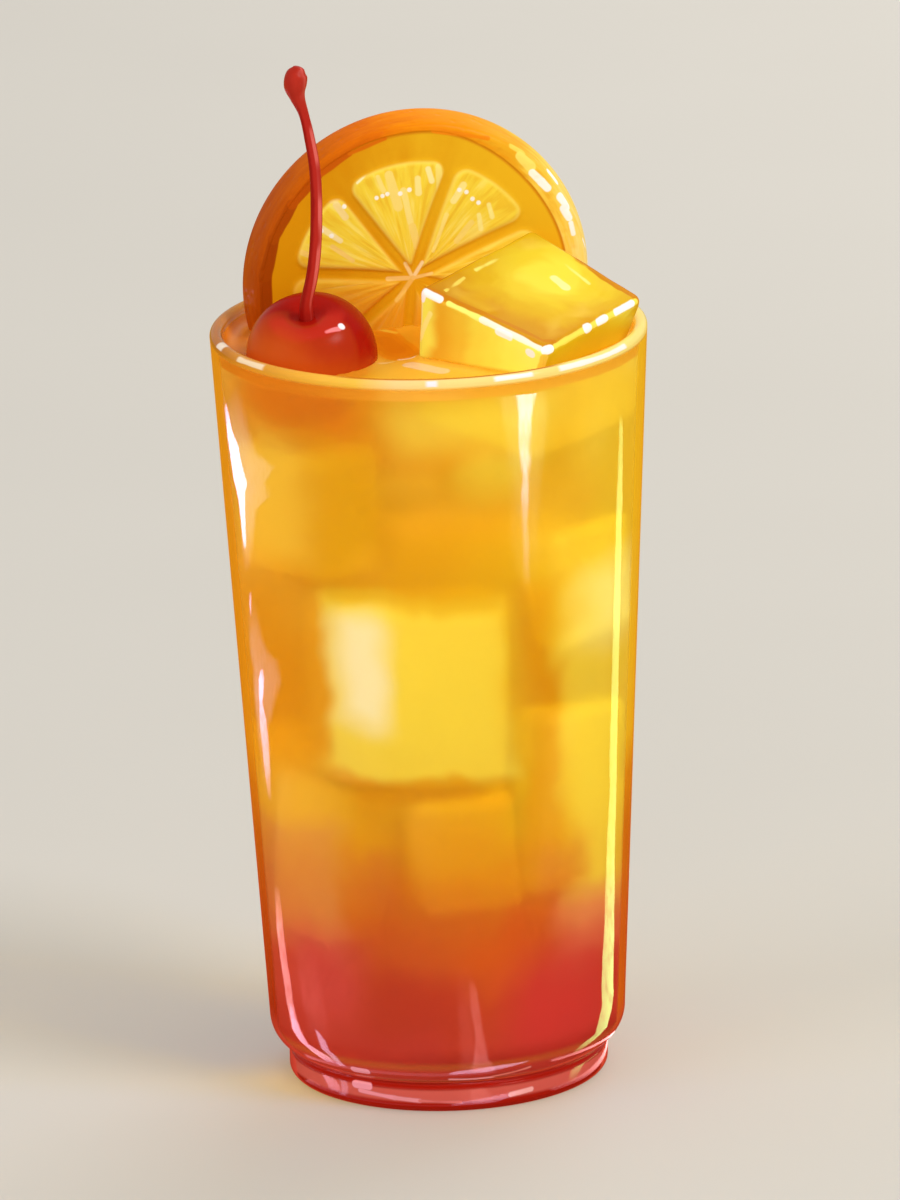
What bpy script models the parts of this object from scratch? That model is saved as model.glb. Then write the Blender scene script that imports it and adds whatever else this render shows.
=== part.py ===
# A tequila sunrise in a tall tumbler: the glass, the drink in two layers, an orange wheel,
# a block of ice and a cherry on its stem.
# Metres, +Z up. The origin is on the glass's axis, where it meets the table, and the front is -Y.

import math

import bmesh
import bpy
from mathutils import Euler, Vector

MM = 0.001
GAP = 0.3 * MM  # left between pieces that touch
ROUND_STEPS = 64  # sides of the glass and of the drink

# Tumbler
GLASS_HEIGHT = 142.2 * MM
RIM_RADIUS = 40 * MM
LIP_ROUND = 1.2 * MM  # half the wall's thickness at the lip
LOW_RADIUS = 32.9 * MM  # outside of the wall, where its lower corner starts to turn in
LOW_HEIGHT = 11.4 * MM
LOW_ROUND = 6.2 * MM
LOW_WALL = 2.8 * MM  # the wall's thickness down there
FOOT_RADIUS = 29.5 * MM
FOOT_HEIGHT = 5.0 * MM
FOOT_ROUND = 1.6 * MM
GROOVE_DEPTH = 0.6 * MM
FLOOR_HEIGHT = 6.6 * MM  # top of the thick base, inside
FLOOR_ROUND = 7.0 * MM
KICK_RADIUS = 23.0 * MM  # shallow hollow under the foot
KICK_DEPTH = 0.8 * MM

# Drink
LEVEL = GLASS_HEIGHT - 3.8 * MM
LAYER_HEIGHT = 31 * MM  # mean height of the line between grenadine and juice
LAYER_LOW_SIDE = math.radians(25)  # the line dips here, measured from the front towards +X

# Orange wheel, cut from a round orange some way off its middle
ORANGE_RADIUS = 32.6 * MM
RIND = 6.6 * MM
WHEEL_THICKNESS = 6.5 * MM
WHEEL_BACK_OFFSET = 4.5 * MM  # from the orange's middle to the back face
HUB_SHIFT = Vector((-1.5, 1.7)) * MM  # from the face's middle to where its segments meet
WHEEL_FRONT_CENTRE = Vector((-1.1, 10.2, 146.5)) * MM
WHEEL_TURN = Euler((math.radians(92), 0, math.radians(10)))
WHEEL_EDGE = 0.6 * MM
MEMBRANES = [26.5, 72.5, 126, 171, 217, 262, 305, 344]  # degrees, as seen from the front
MEMBRANE_HALF = 0.75 * MM
PULP_RELIEF = 0.5 * MM
PULP_SLOPE = 1.1 * MM  # how wide the pulp's rounded edge is
PULP_CORNER = 3.0 * MM
PULP_START = 2.4 * MM  # distance of the pulp from where the segments meet

# Cherry
CHERRY_RADIUS = 12.0 * MM
CHERRY_CENTRE = Vector((-21.3, -11.5, 139.6)) * MM
CHERRY_TURN = Euler((math.radians(24), math.radians(-5), 0))
CHERRY_SQUAT = 0.95
DIMPLE_SHARE = 0.25  # the dimple's depth, as a share of the cherry's radius
DIMPLE_WIDTH = 0.42  # radians

# Cherry stem: control points above its foot in the dimple, and the radius at each
STEM_ROUTE = [
    (Vector((-21.9, -16.7, 151.3)) * MM, 1.15),
    (Vector((-20.8, -17.3, 156.1)) * MM, 1.12),
    (Vector((-20.0, -17.0, 161.6)) * MM, 1.10),
    (Vector((-19.6, -16.0, 168.8)) * MM, 1.08),
    (Vector((-19.7, -14.9, 175.4)) * MM, 1.04),
    (Vector((-20.5, -14.0, 181.2)) * MM, 0.96),
    (Vector((-21.4, -13.4, 185.5)) * MM, 0.92),
    (Vector((-22.4, -13.2, 188.5)) * MM, 1.35),
    (Vector((-22.8, -13.1, 190.7)) * MM, 2.05),
    (Vector((-22.5, -13.0, 192.7)) * MM, 2.00),
    (Vector((-22.1, -13.0, 194.1)) * MM, 1.15),
]
STEM_FOOT_RADIUS = 1.35
STEM_LIFT = 0.6 * MM  # of its flat foot above the bottom of the dimple
STEM_SIDES = 2  # bevel resolution, which gives twelve sides

# Ice block, a tapered tray cube that floats askew against the rim
ICE_TOP_CENTRE = Vector((19.0, -10.5, 150.4)) * MM
ICE_TURN = Euler((math.radians(17.4), math.radians(-4.8), math.radians(55.3)))
ICE_HALF = Vector((16.3, 14.6)) * MM
ICE_HEIGHT = 25 * MM
ICE_TAPER = 0.82
ICE_ROUND = 1.6 * MM
ICE_LEDGE = 3.2 * MM  # flat border round the dish in its top
ICE_DISH_SLOPE = 2.4 * MM
ICE_DISH_DEPTH = 1.1 * MM
ICE_CORNER_PULL = Vector((1.6, -1.8, 1.5)) * MM  # shifts the top's far corner, so it isn't quite square


def clear_scene():
    for obj in list(bpy.data.objects):
        bpy.data.objects.remove(obj, do_unlink=True)


def make_material(name, colour, roughness, alpha=1.0):
    material = bpy.data.materials.new(name)
    material.use_nodes = True
    shader = material.node_tree.nodes["Principled BSDF"]
    shader.inputs["Base Color"].default_value = (*colour, 1.0)
    shader.inputs["Roughness"].default_value = roughness
    shader.inputs["Metallic"].default_value = 0.0
    shader.inputs["Alpha"].default_value = alpha
    return material


def add_object(name, bm, material, smooth_angle=40):
    bmesh.ops.recalc_face_normals(bm, faces=bm.faces[:])
    mesh = bpy.data.meshes.new(name)
    bm.to_mesh(mesh)
    bm.free()
    mesh.shade_smooth()
    mesh.set_sharp_from_angle(angle=math.radians(smooth_angle))
    obj = bpy.data.objects.new(name, mesh)
    bpy.context.scene.collection.objects.link(obj)
    mesh.materials.append(material)
    return obj


def arc(centre, radius, start, end, steps):
    """Points of an arc in the profile plane, from start to end degrees."""
    points = []
    for step in range(steps + 1):
        angle = math.radians(start + (end - start) * step / steps)
        points.append((centre[0] + radius * math.cos(angle), centre[1] + radius * math.sin(angle)))
    return points


def spin_profile(profile, steps):
    """Turns a profile of (radius, height), which starts and ends on the axis, into a closed body."""
    bm = bmesh.new()
    verts = [bm.verts.new((radius, 0, height)) for radius, height in profile]
    edges = [bm.edges.new(pair) for pair in zip(verts, verts[1:])]
    bmesh.ops.spin(
        bm, geom=verts + edges, cent=(0, 0, 0), axis=(0, 0, 1), angle=math.tau, steps=steps, use_merge=True
    )
    bmesh.ops.remove_doubles(bm, verts=bm.verts[:], dist=1e-7)
    return bm


def skin_rings(first, rings, last):
    """A closed body over rings of equal length, shut by a single point at each end."""
    bm = bmesh.new()
    start = bm.verts.new(first)
    rows = [[bm.verts.new(point) for point in ring] for ring in rings]
    end = bm.verts.new(last)
    count = len(rows[0])
    for k in range(count):
        after = (k + 1) % count
        bm.faces.new((start, rows[0][k], rows[0][after]))
        bm.faces.new((end, rows[-1][after], rows[-1][k]))
        for low, high in zip(rows, rows[1:]):
            bm.faces.new((low[k], high[k], high[after], low[after]))
    return bm


def outer_radius(height):
    """Outside of the glass's straight wall."""
    share = (height - LOW_HEIGHT) / (GLASS_HEIGHT - LIP_ROUND - LOW_HEIGHT)
    return LOW_RADIUS + (RIM_RADIUS - LOW_RADIUS) * share


def inner_radius(height):
    """Inside of the wall, which thins towards the lip."""
    share = (height - LOW_HEIGHT) / (GLASS_HEIGHT - LIP_ROUND - LOW_HEIGHT)
    return outer_radius(height) - (LOW_WALL + (2 * LIP_ROUND - LOW_WALL) * share)


def hollow_floor(clearance):
    """Profile of the glass's inside from the axis out to the wall, held off it by the clearance."""
    turn = FLOOR_HEIGHT + FLOOR_ROUND
    centre = (inner_radius(turn) - FLOOR_ROUND, turn)
    return [(0, FLOOR_HEIGHT + clearance)] + arc(centre, FLOOR_ROUND - clearance, -90, 0, 8)


def tumbler_profile():
    wall_lean = math.degrees(math.atan2(RIM_RADIUS - LOW_RADIUS, GLASS_HEIGHT - LOW_HEIGHT))
    under = [(0, KICK_DEPTH), (KICK_RADIUS, KICK_DEPTH), (KICK_RADIUS + 2 * MM, 0)]
    foot = arc((FOOT_RADIUS - FOOT_ROUND, FOOT_ROUND), FOOT_ROUND, -90, 0, 5)
    shoulder = arc((FOOT_RADIUS - 0.5 * MM, FOOT_HEIGHT - 0.5 * MM), 0.5 * MM, 0, 70, 3)
    groove = [(FOOT_RADIUS - GROOVE_DEPTH, FOOT_HEIGHT + 0.35 * MM)]
    corner = arc((LOW_RADIUS - LOW_ROUND, LOW_HEIGHT), LOW_ROUND, -64, -wall_lean, 8)
    wall = [(outer_radius(height * MM), height * MM) for height in range(20, 139, 20)]
    lip = arc((RIM_RADIUS - LIP_ROUND, GLASS_HEIGHT - LIP_ROUND), LIP_ROUND, 0, 180, 8)
    inside = [(inner_radius(height * MM), height * MM) for height in range(130, 19, -20)]
    return under + foot + shoulder + groove + corner + wall + lip + inside + hollow_floor(0)[::-1]


def build_tumbler(material):
    return add_object("tumbler", spin_profile(tumbler_profile(), ROUND_STEPS), material)


def layer_line(side, share):
    """Height of the line between the layers: side is the angle from the front towards +X, share the
    distance from the axis as a share of the wall's."""
    turn = side - LAYER_LOW_SIDE
    swing = -3.0 * math.cos(turn) - 5.5 * math.cos(2 * turn) + 1.3 * math.sin(5 * side + 1.0)
    return LAYER_HEIGHT + swing * MM * share


def layer_ring(share, offset):
    """One ring of the line between the layers, which meets the wall where share is 1."""
    ring = []
    for step in range(ROUND_STEPS):
        side = math.tau * step / ROUND_STEPS
        height = layer_line(side, share) + offset
        radius = (inner_radius(layer_line(side, 1.0)) - GAP) * share
        ring.append(Vector((radius * math.sin(side), -radius * math.cos(side), height)))
    return ring


def level_ring(radius, height):
    ring = []
    for step in range(ROUND_STEPS):
        side = math.tau * step / ROUND_STEPS
        ring.append(Vector((radius * math.sin(side), -radius * math.cos(side), height)))
    return ring


def build_grenadine(material):
    """The lower layer: it fills the rounded floor and ends in a wavy top."""
    floor = [level_ring(radius, height) for radius, height in hollow_floor(GAP)[1:]]
    top = [layer_ring(share, -GAP / 2) for share in (1.0, 0.8, 0.6, 0.4, 0.2)]
    bottom_point = (0, 0, FLOOR_HEIGHT + GAP)
    top_point = (0, 0, LAYER_HEIGHT - GAP / 2)
    return add_object("grenadine", skin_rings(bottom_point, floor + top, top_point), material)


def build_juice(material):
    """The upper layer, from the wavy line up to the level of the drink."""
    under = [layer_ring(share, GAP / 2) for share in (0.2, 0.4, 0.6, 0.8, 1.0)]
    heights = (60 * MM, 85 * MM, 110 * MM, LEVEL)
    wall = [level_ring(inner_radius(height) - GAP, height) for height in heights]
    top = [level_ring((inner_radius(LEVEL) - GAP) * share, LEVEL) for share in (0.66, 0.33)]
    body = skin_rings((0, 0, LAYER_HEIGHT + GAP / 2), under + wall + top, (0, 0, LEVEL))
    return add_object("juice", body, material)


def face_radius(sphere_radius, offset):
    """Radius of the cut face of a ball, that far off its middle."""
    return math.sqrt(sphere_radius**2 - offset**2)


def wheel_segments():
    """The start and the width of each segment, in radians."""
    starts = [math.radians(angle) for angle in MEMBRANES]
    ends = starts[1:] + [starts[0] + math.tau]
    return [(start, end - start) for start, end in zip(starts, ends)]


def pulp_height(radius, offset, width, pulp_radius):
    """How far the pulp stands proud at this radius and angle from the segment's first membrane."""
    side_a = radius * math.sin(min(offset, math.pi / 2)) - MEMBRANE_HALF
    side_b = radius * math.sin(min(width - offset, math.pi / 2)) - MEMBRANE_HALF
    depth = min(side_a, side_b)
    outer = pulp_radius - radius
    if depth < PULP_CORNER and outer < PULP_CORNER:  # round the two outer corners
        depth = PULP_CORNER - math.hypot(PULP_CORNER - depth, PULP_CORNER - outer)
    depth = min(depth, outer, radius - PULP_START)
    share = max(0.0, min(1.0, depth / PULP_SLOPE))
    return PULP_RELIEF * share * (2 - share)


def wheel_angles(radius):
    """Angles of the mesh's spokes at this radius, which follow the membranes' sides."""
    found = []
    reaches = (MEMBRANE_HALF, MEMBRANE_HALF + PULP_SLOPE, MEMBRANE_HALF + PULP_CORNER)
    for start, width in wheel_segments():
        room = width / 2
        sides = [
            min(math.asin(min(1.0, reach / radius)), room * limit)
            for reach, limit in zip(reaches, (0.4, 0.6, 0.75))
        ]
        sides = [0.0] + sides + [(sides[-1] + room) / 2]
        back = [width - angle for angle in reversed(sides[1:])]
        found += [(start + angle, angle, width) for angle in sides + [room] + back]
    return found


def wheel_face(radii, pulp_radius, height, sign):
    """Rings of one cut face, from where its segments meet out to its edge. Sign is 1 for the front
    and -1 for the back."""
    rings = []
    for radius in radii:
        hub = HUB_SHIFT * (1 - (radius / radii[-1]) ** 2)
        ring = []
        for angle, offset, width in wheel_angles(radius):
            rise = pulp_height(radius, offset, width, pulp_radius)
            x, y = hub.x + radius * math.cos(angle), hub.y + radius * math.sin(angle)
            ring.append(Vector((x, y, height + sign * rise)))
        rings.append(ring)
    return rings


def wheel_radii(pulp_radius, face):
    inner = [PULP_START, PULP_START + PULP_SLOPE, 0.3 * pulp_radius, 0.5 * pulp_radius, 0.7 * pulp_radius]
    corner = [pulp_radius - PULP_CORNER, pulp_radius - 1.6 * PULP_SLOPE, pulp_radius - 0.7 * PULP_SLOPE]
    return [1.2 * MM] + inner + corner + [pulp_radius, face - WHEEL_EDGE]


def build_wheel(material):
    """A slice of orange with raised pulp on both faces and the ball's own curve round its peel."""
    half = WHEEL_THICKNESS / 2
    front_offset = WHEEL_BACK_OFFSET + WHEEL_THICKNESS
    flesh = ORANGE_RADIUS - RIND
    faces = {}
    for name, offset in (("front", front_offset), ("back", WHEEL_BACK_OFFSET)):
        faces[name] = (face_radius(flesh, offset), face_radius(ORANGE_RADIUS, offset))
    front = wheel_face(wheel_radii(*faces["front"]), faces["front"][0], half, 1)
    back = wheel_face(wheel_radii(*faces["back"]), faces["back"][0], -half, -1)
    peel = []
    for step in range(5):
        offset = front_offset - WHEEL_EDGE / 2 - (WHEEL_THICKNESS - WHEEL_EDGE) * step / 4
        radius = face_radius(ORANGE_RADIUS, offset)
        height = offset - WHEEL_BACK_OFFSET - half
        spokes = wheel_angles(radius)
        peel.append([Vector((radius * math.cos(a), radius * math.sin(a), height)) for a, _, _ in spokes])
    body = skin_rings((*HUB_SHIFT, half), front + peel + back[::-1], (*HUB_SHIFT, -half))
    wheel = add_object("orange_wheel", body, material)
    place_wheel(wheel)
    return wheel


def place_wheel(obj):
    """The front face's centre goes to its named place, with the body behind it."""
    obj.rotation_euler = WHEEL_TURN
    front = Vector((0, 0, 1))
    front.rotate(WHEEL_TURN)
    obj.location = WHEEL_FRONT_CENTRE - front * WHEEL_THICKNESS / 2


def cherry_profile(grow=0.0):
    """Half outline of the cherry, from the bottom up, with the dimple at the top."""
    steps = 20
    profile = []
    for step in range(steps + 1):
        share = step / steps
        from_top = math.pi * (1 - share**1.15)
        dimple = DIMPLE_SHARE * math.exp(-((from_top / DIMPLE_WIDTH) ** 2))
        radius = CHERRY_RADIUS * (1 - dimple) + grow
        squat = CHERRY_SQUAT if from_top > math.pi / 2 else 1.0
        profile.append((max(0.0, radius * math.sin(from_top)), radius * math.cos(from_top) * squat))
    profile[0] = (0.0, profile[0][1])
    profile[-1] = (0.0, profile[-1][1])
    return profile


def build_cherry(material):
    cherry = add_object("cherry", spin_profile(cherry_profile(), 32), material)
    cherry.location = CHERRY_CENTRE
    cherry.rotation_euler = CHERRY_TURN
    return cherry


def build_stem(material):
    """A tapering stalk that rises from the dimple and ends in the knob where it left the tree."""
    foot = Vector((0, 0, CHERRY_RADIUS * (1 - DIMPLE_SHARE) + STEM_LIFT))
    foot.rotate(CHERRY_TURN)
    points = [(CHERRY_CENTRE + foot, STEM_FOOT_RADIUS)] + STEM_ROUTE
    curve = bpy.data.curves.new("cherry_stem", "CURVE")
    curve.dimensions = "3D"
    curve.bevel_depth = 1 * MM
    curve.bevel_resolution = STEM_SIDES
    curve.use_fill_caps = True
    curve.resolution_u = 5
    spline = curve.splines.new("BEZIER")
    spline.bezier_points.add(len(points) - 1)
    for point, (place, radius) in zip(spline.bezier_points, points):
        point.co = place
        point.radius = radius
        point.handle_left_type = point.handle_right_type = "AUTO"
    stem = bpy.data.objects.new("cherry_stem", curve)
    bpy.context.scene.collection.objects.link(stem)
    curve.materials.append(material)
    return stem


def ice_body(grow=0.0, dish=True):
    """A rounded box that narrows downwards, its top at height 0, with a shallow dish in it."""
    bm = bmesh.new()
    bmesh.ops.create_cube(bm, size=2)
    for vert in bm.verts:
        low = vert.co.z < 0
        scale = ICE_TAPER if low else 1.0
        vert.co.x *= ICE_HALF.x * scale + grow
        vert.co.y *= ICE_HALF.y * scale + grow
        vert.co.z = -ICE_HEIGHT - grow if low else grow
        if not low and vert.co.x > 0 and vert.co.y > 0:
            vert.co += ICE_CORNER_PULL
    bmesh.ops.bevel(
        bm, geom=bm.edges[:], offset=ICE_ROUND, segments=3, profile=0.5, affect="EDGES", clamp_overlap=True
    )
    if dish:
        bm.normal_update()
        top = max(bm.faces, key=lambda face: face.normal.z * face.calc_area())
        bmesh.ops.inset_region(bm, faces=[top], thickness=ICE_LEDGE, use_even_offset=True)
        bmesh.ops.inset_region(bm, faces=[top], thickness=ICE_DISH_SLOPE, use_even_offset=True)
        for vert in top.verts:
            vert.co.z -= ICE_DISH_DEPTH
    # the sides that the pulled corner twists are split alike here and in the drink's cutter
    bmesh.ops.triangulate(bm, faces=bm.faces[:], quad_method="FIXED")
    return bm


def place_ice(obj):
    obj.location = ICE_TOP_CENTRE
    obj.rotation_euler = ICE_TURN


def build_ice(material):
    ice = add_object("ice_block", ice_body(), material)
    place_ice(ice)
    return ice


def make_cutters(material):
    """Plain, slightly larger copies of what stands in the drink."""
    grow = 1.3 * GAP
    ice = add_object("cutter_ice", ice_body(grow, dish=False), material)
    place_ice(ice)
    cherry = add_object("cutter_cherry", spin_profile(cherry_profile(grow), 32), material)
    cherry.location = CHERRY_CENTRE
    cherry.rotation_euler = CHERRY_TURN
    half = WHEEL_THICKNESS / 2 + PULP_RELIEF + grow
    front = face_radius(ORANGE_RADIUS, WHEEL_BACK_OFFSET + WHEEL_THICKNESS) + 2 * grow
    back = face_radius(ORANGE_RADIUS, WHEEL_BACK_OFFSET) + 2 * grow
    middle = face_radius(ORANGE_RADIUS, WHEEL_BACK_OFFSET + WHEEL_THICKNESS / 2) + 2 * grow
    profile = [(0, -half), (back, -half), (middle, 0), (front, half), (0, half)]
    wheel = add_object("cutter_wheel", spin_profile(profile, ROUND_STEPS), material)
    place_wheel(wheel)
    for cutter in (ice, cherry, wheel):
        cutter.hide_render = True
        cutter.display_type = "WIRE"
    return [ice, cherry, wheel]


def cut_from(obj, cutters):
    for cutter in cutters:
        modifier = obj.modifiers.new("room for " + cutter.name, "BOOLEAN")
        modifier.operation = "DIFFERENCE"
        modifier.solver = "EXACT"
        modifier.object = cutter


def main():
    clear_scene()
    build_tumbler(make_material("clear_glass", (0.93, 0.95, 0.95), 0.03, alpha=0.35))
    build_grenadine(make_material("grenadine_red", (0.58, 0.055, 0.035), 0.15))
    juice = build_juice(make_material("orange_juice", (0.84, 0.38, 0.02), 0.2))
    cut_from(juice, make_cutters(make_material("cutter", (0.5, 0.5, 0.5), 0.5)))
    build_wheel(make_material("orange_flesh", (0.90, 0.42, 0.03), 0.45))
    build_cherry(make_material("cherry_red", (0.45, 0.02, 0.012), 0.15))
    build_stem(make_material("stem_red", (0.42, 0.03, 0.015), 0.35))
    build_ice(make_material("ice", (0.95, 0.66, 0.12), 0.08, alpha=0.6))


main()
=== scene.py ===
# Tequila sunrise in a tall tumbler: glass, drink, sunk ice, floating ice, orange wheel and cherry
import math

import bmesh
import bpy
import numpy as np
from mathutils import Euler, Matrix, Vector, noise


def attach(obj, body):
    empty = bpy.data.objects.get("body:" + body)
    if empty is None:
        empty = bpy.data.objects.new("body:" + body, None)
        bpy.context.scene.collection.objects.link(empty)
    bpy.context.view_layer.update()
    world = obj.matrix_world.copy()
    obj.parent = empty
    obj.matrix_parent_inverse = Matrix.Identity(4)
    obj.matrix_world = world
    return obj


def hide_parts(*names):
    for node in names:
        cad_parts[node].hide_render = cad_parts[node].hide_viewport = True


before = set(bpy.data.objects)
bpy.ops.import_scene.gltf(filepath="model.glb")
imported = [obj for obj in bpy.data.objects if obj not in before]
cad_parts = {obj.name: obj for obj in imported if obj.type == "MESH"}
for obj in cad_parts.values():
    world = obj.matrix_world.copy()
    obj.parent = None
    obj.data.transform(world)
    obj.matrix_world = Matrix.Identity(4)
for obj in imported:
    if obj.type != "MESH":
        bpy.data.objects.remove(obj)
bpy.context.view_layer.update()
mm = 0.001
noise.seed_set(190)  # the same wobbles in the ice on every run

camera = {
    "aim": (2.18, 13.94),  # mm right and up of the glass's middle, along the tilted picture
    "middle": 75,  # mm above the table
    "distance": 2500,
    "elevation": 16.2,
    "tilt": 1.6,  # degrees that the top leans left
    "frameHeight": 220.8,  # mm seen from top to bottom, at the glass
    "sensor": 36,  # mm high
}


def addCamera():
    lens = bpy.data.cameras.new("camera")
    lens.sensor_fit = "VERTICAL"
    lens.sensor_height = camera["sensor"]
    lens.lens = camera["sensor"] * camera["distance"] / camera["frameHeight"]
    lens.clip_end = 20
    eye = bpy.data.objects.new("camera", lens)
    bpy.context.scene.collection.objects.link(eye)
    rise = math.radians(camera["elevation"])
    back = Vector((0, -math.cos(rise), math.sin(rise)))
    turn = (-back).to_track_quat("-Z", "Y")
    turn = turn @ Euler((0, 0, -math.radians(camera["tilt"]))).to_quaternion()
    side = turn @ Vector((1, 0, 0))
    up = turn @ Vector((0, 1, 0))
    aim = Vector((0, 0, camera["middle"])) + side * camera["aim"][0] + up * camera["aim"][1]
    eye.location = (aim + back * camera["distance"]) * mm
    eye.rotation_euler = turn.to_euler()
    bpy.context.scene.camera = eye


def paint(code):
    # a screen colour such as "e8a21c", as the linear numbers that Blender wants
    parts = [int(code[k : k + 2], 16) / 255 for k in (0, 2, 4)]
    return tuple(part / 12.92 if part < 0.04 else ((part + 0.055) / 1.055) ** 2.4 for part in parts)


class Wire:
    # one socket of a finish, so that sums on it can be written as sums
    def __init__(self, finish, socket):
        self.finish = finish
        self.socket = socket

    def __add__(self, other):
        return self.finish.maths("ADD", self, other)

    def __radd__(self, other):
        return self.finish.maths("ADD", other, self)

    def __sub__(self, other):
        return self.finish.maths("SUBTRACT", self, other)

    def __rsub__(self, other):
        return self.finish.maths("SUBTRACT", other, self)

    def __mul__(self, other):
        return self.finish.maths("MULTIPLY", self, other)

    def __rmul__(self, other):
        return self.finish.maths("MULTIPLY", other, self)

    def __truediv__(self, other):
        return self.finish.maths("DIVIDE", self, other)

    def __rtruediv__(self, other):
        return self.finish.maths("DIVIDE", other, self)

    def __pow__(self, other):
        return self.finish.maths("POWER", self, other)

    def __rpow__(self, other):
        return self.finish.maths("POWER", other, self)

    def out(self, name):
        return Wire(self.finish, self.socket.node.outputs[name])


strokeSoft = 0.15  # mm, from a brush stroke's edge to where it is full or gone


class Finish:
    # one material, built up from nodes
    def __init__(self, name):
        self.material = bpy.data.materials.new(name)
        self.material.use_nodes = True
        self.tree = self.material.node_tree
        self.tree.nodes.clear()
        self.end = self.tree.nodes.new("ShaderNodeOutputMaterial")
        self.spot = self.add("ShaderNodeTexCoord").out("Object")
        self.point = self.vectors("MULTIPLY", self.spot, (1 / mm, 1 / mm, 1 / mm))  # the spot in mm

    def add(self, kind, settings=None, sockets=None, out=0):
        node = self.tree.nodes.new(kind)
        for key, value in (settings or {}).items():
            if key == "stops":
                self.setStops(node.color_ramp, *value)
            else:
                setattr(node, key, value)
        for key, value in (sockets or {}).items():
            self.feed(node.inputs[key], value)
        return Wire(self, node.outputs[out])

    def feed(self, socket, value):
        if isinstance(value, Wire):
            self.tree.links.new(value.socket, socket)
        elif hasattr(value, "__len__") and socket.type == "RGBA" and len(value) == 3:
            socket.default_value = (*value, 1)
        else:
            socket.default_value = value

    def setStops(self, ramp, kind, stops):
        ramp.interpolation = kind
        while len(ramp.elements) < len(stops):
            ramp.elements.new(0.5)
        for element, (place, colour) in zip(ramp.elements, stops):
            element.position = place
            element.color = (*colour, 1)

    def maths(self, operation, *values):
        return self.add("ShaderNodeMath", {"operation": operation}, dict(enumerate(values)))

    def most(self, first, *others):
        # the highest of several masks
        for other in others:
            first = self.maths("MAXIMUM", first, other)
        return first

    def vectors(self, operation, *values, out=0):
        return self.add("ShaderNodeVectorMath", {"operation": operation}, dict(enumerate(values)), out)

    def towards(self, direction):
        # mm from the piece's own middle, along a direction
        return self.vectors("DOT_PRODUCT", self.point, direction, out="Value")

    def split(self, vector):
        parts = self.add("ShaderNodeSeparateXYZ", None, {0: vector})
        return parts.out("X"), parts.out("Y"), parts.out("Z")

    def together(self, x, y, z):
        return self.add("ShaderNodeCombineXYZ", None, {0: x, 1: y, 2: z})

    def mix(self, a, b, share, blend="MIX"):
        settings = {"data_type": "RGBA", "blend_type": blend}
        return self.add("ShaderNodeMix", settings, {0: share, 6: a, 7: b}, 2)

    def step(self, value, low, high):
        # 0 below low, 1 above high, and smooth between; low may be the higher
        settings = {"interpolation_type": "SMOOTHSTEP"}
        return self.add("ShaderNodeMapRange", settings, {0: value, 1: low, 2: high, 3: 0, 4: 1})

    def within(self, value, middle, half, soft):
        # 1 up to half away from the middle, and soft on both sides of that
        return self.step(self.maths("ABSOLUTE", value - middle), half + soft, half - soft)

    def ramp(self, value, stops, kind="LINEAR"):
        return self.add("ShaderNodeValToRGB", {"stops": (kind, stops)}, {0: value})

    def shade(self, value, rows, kind="LINEAR"):
        # the colour at the value, from rows of a place from 0 to 1 and a colour
        return self.ramp(value, [(place, paint(code)) for place, code in rows], kind)

    def shadePair(self, value, rows, span):
        # two colours at once, from rows of a place from 0 to span and both colours
        return [self.shade(value / span, [(row[0] / span, row[k]) for row in rows]) for k in (1, 2)]

    def cloud(self, scale, detail=2, roughness=0.5, spot=None, distortion=0):
        sockets = {"Vector": spot or self.spot, "Scale": scale, "Detail": detail}
        sockets.update({"Roughness": roughness, "Distortion": distortion})
        return self.add("ShaderNodeTexNoise", None, sockets)

    def cells(self, scale, spot=None, randomness=1):
        sockets = {"Vector": spot or self.spot, "Scale": scale, "Randomness": randomness}
        return self.add("ShaderNodeTexVoronoi", None, sockets)

    def stored(self, name):
        # a number that the mesh keeps at each of its corners
        return self.add("ShaderNodeAttribute", {"attribute_name": name}, None, "Fac")

    def stroke(self, start, end, half, ragged):
        # 1 within half of the line from start to end, all in mm
        along = [b - a for a, b in zip(start, end)]
        off = self.vectors("SUBTRACT", self.point, start)
        share = self.vectors("DOT_PRODUCT", off, along, out="Value") / max(0.01, sum(k * k for k in along))
        share = self.add("ShaderNodeClamp", None, {0: share})
        foot = self.add("ShaderNodeVectorMath", {"operation": "SCALE"}, {0: along, "Scale": share})
        gap = self.vectors("DISTANCE", off, foot, out="Value") + ragged
        return self.step(gap, half + strokeSoft, half - strokeSoft)

    def strokes(self, colour, lines, ragged):
        for start, end, half, code in lines:
            colour = self.mix(colour, paint(code), self.stroke(start, end, half, ragged))
        return colour

    def bump(self, height, depth, strength):
        # height runs from 0 to 1, and depth is in metres
        return self.add("ShaderNodeBump", None, {"Height": height, "Distance": depth, "Strength": strength})

    def surface(self, **sockets):
        named = {key.replace("_", " "): value for key, value in sockets.items()}
        return self.add("ShaderNodeBsdfPrincipled", None, named)

    def layer(self, share, under, over):
        return self.add("ShaderNodeMixShader", None, {0: share, 1: under, 2: over})

    def lampsPass(self, shader, tint):
        # lamps shine through it, so that what it holds is lit
        clear = self.add("ShaderNodeBsdfTransparent", None, {"Color": tint})
        return self.layer(self.add("ShaderNodeLightPath").out("Is Shadow Ray"), shader, clear)

    def close(self, shader, volume=None):
        self.tree.links.new(shader.socket, self.end.inputs["Surface"])
        if volume:
            self.tree.links.new(volume.socket, self.end.inputs["Volume"])
        return self.material


def length(a, b):
    # of the long side of a right-angled triangle whose other sides are the wires a and b
    return (a * a + b * b) ** 0.5


def atHeight(height, lines):
    # strokes that are listed flat, as strokes at one height
    return [((*start, height), (*end, height), half, code) for start, end, half, code in lines]


def turnOf(angles):
    return Euler([math.radians(angle) for angle in angles])


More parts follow.
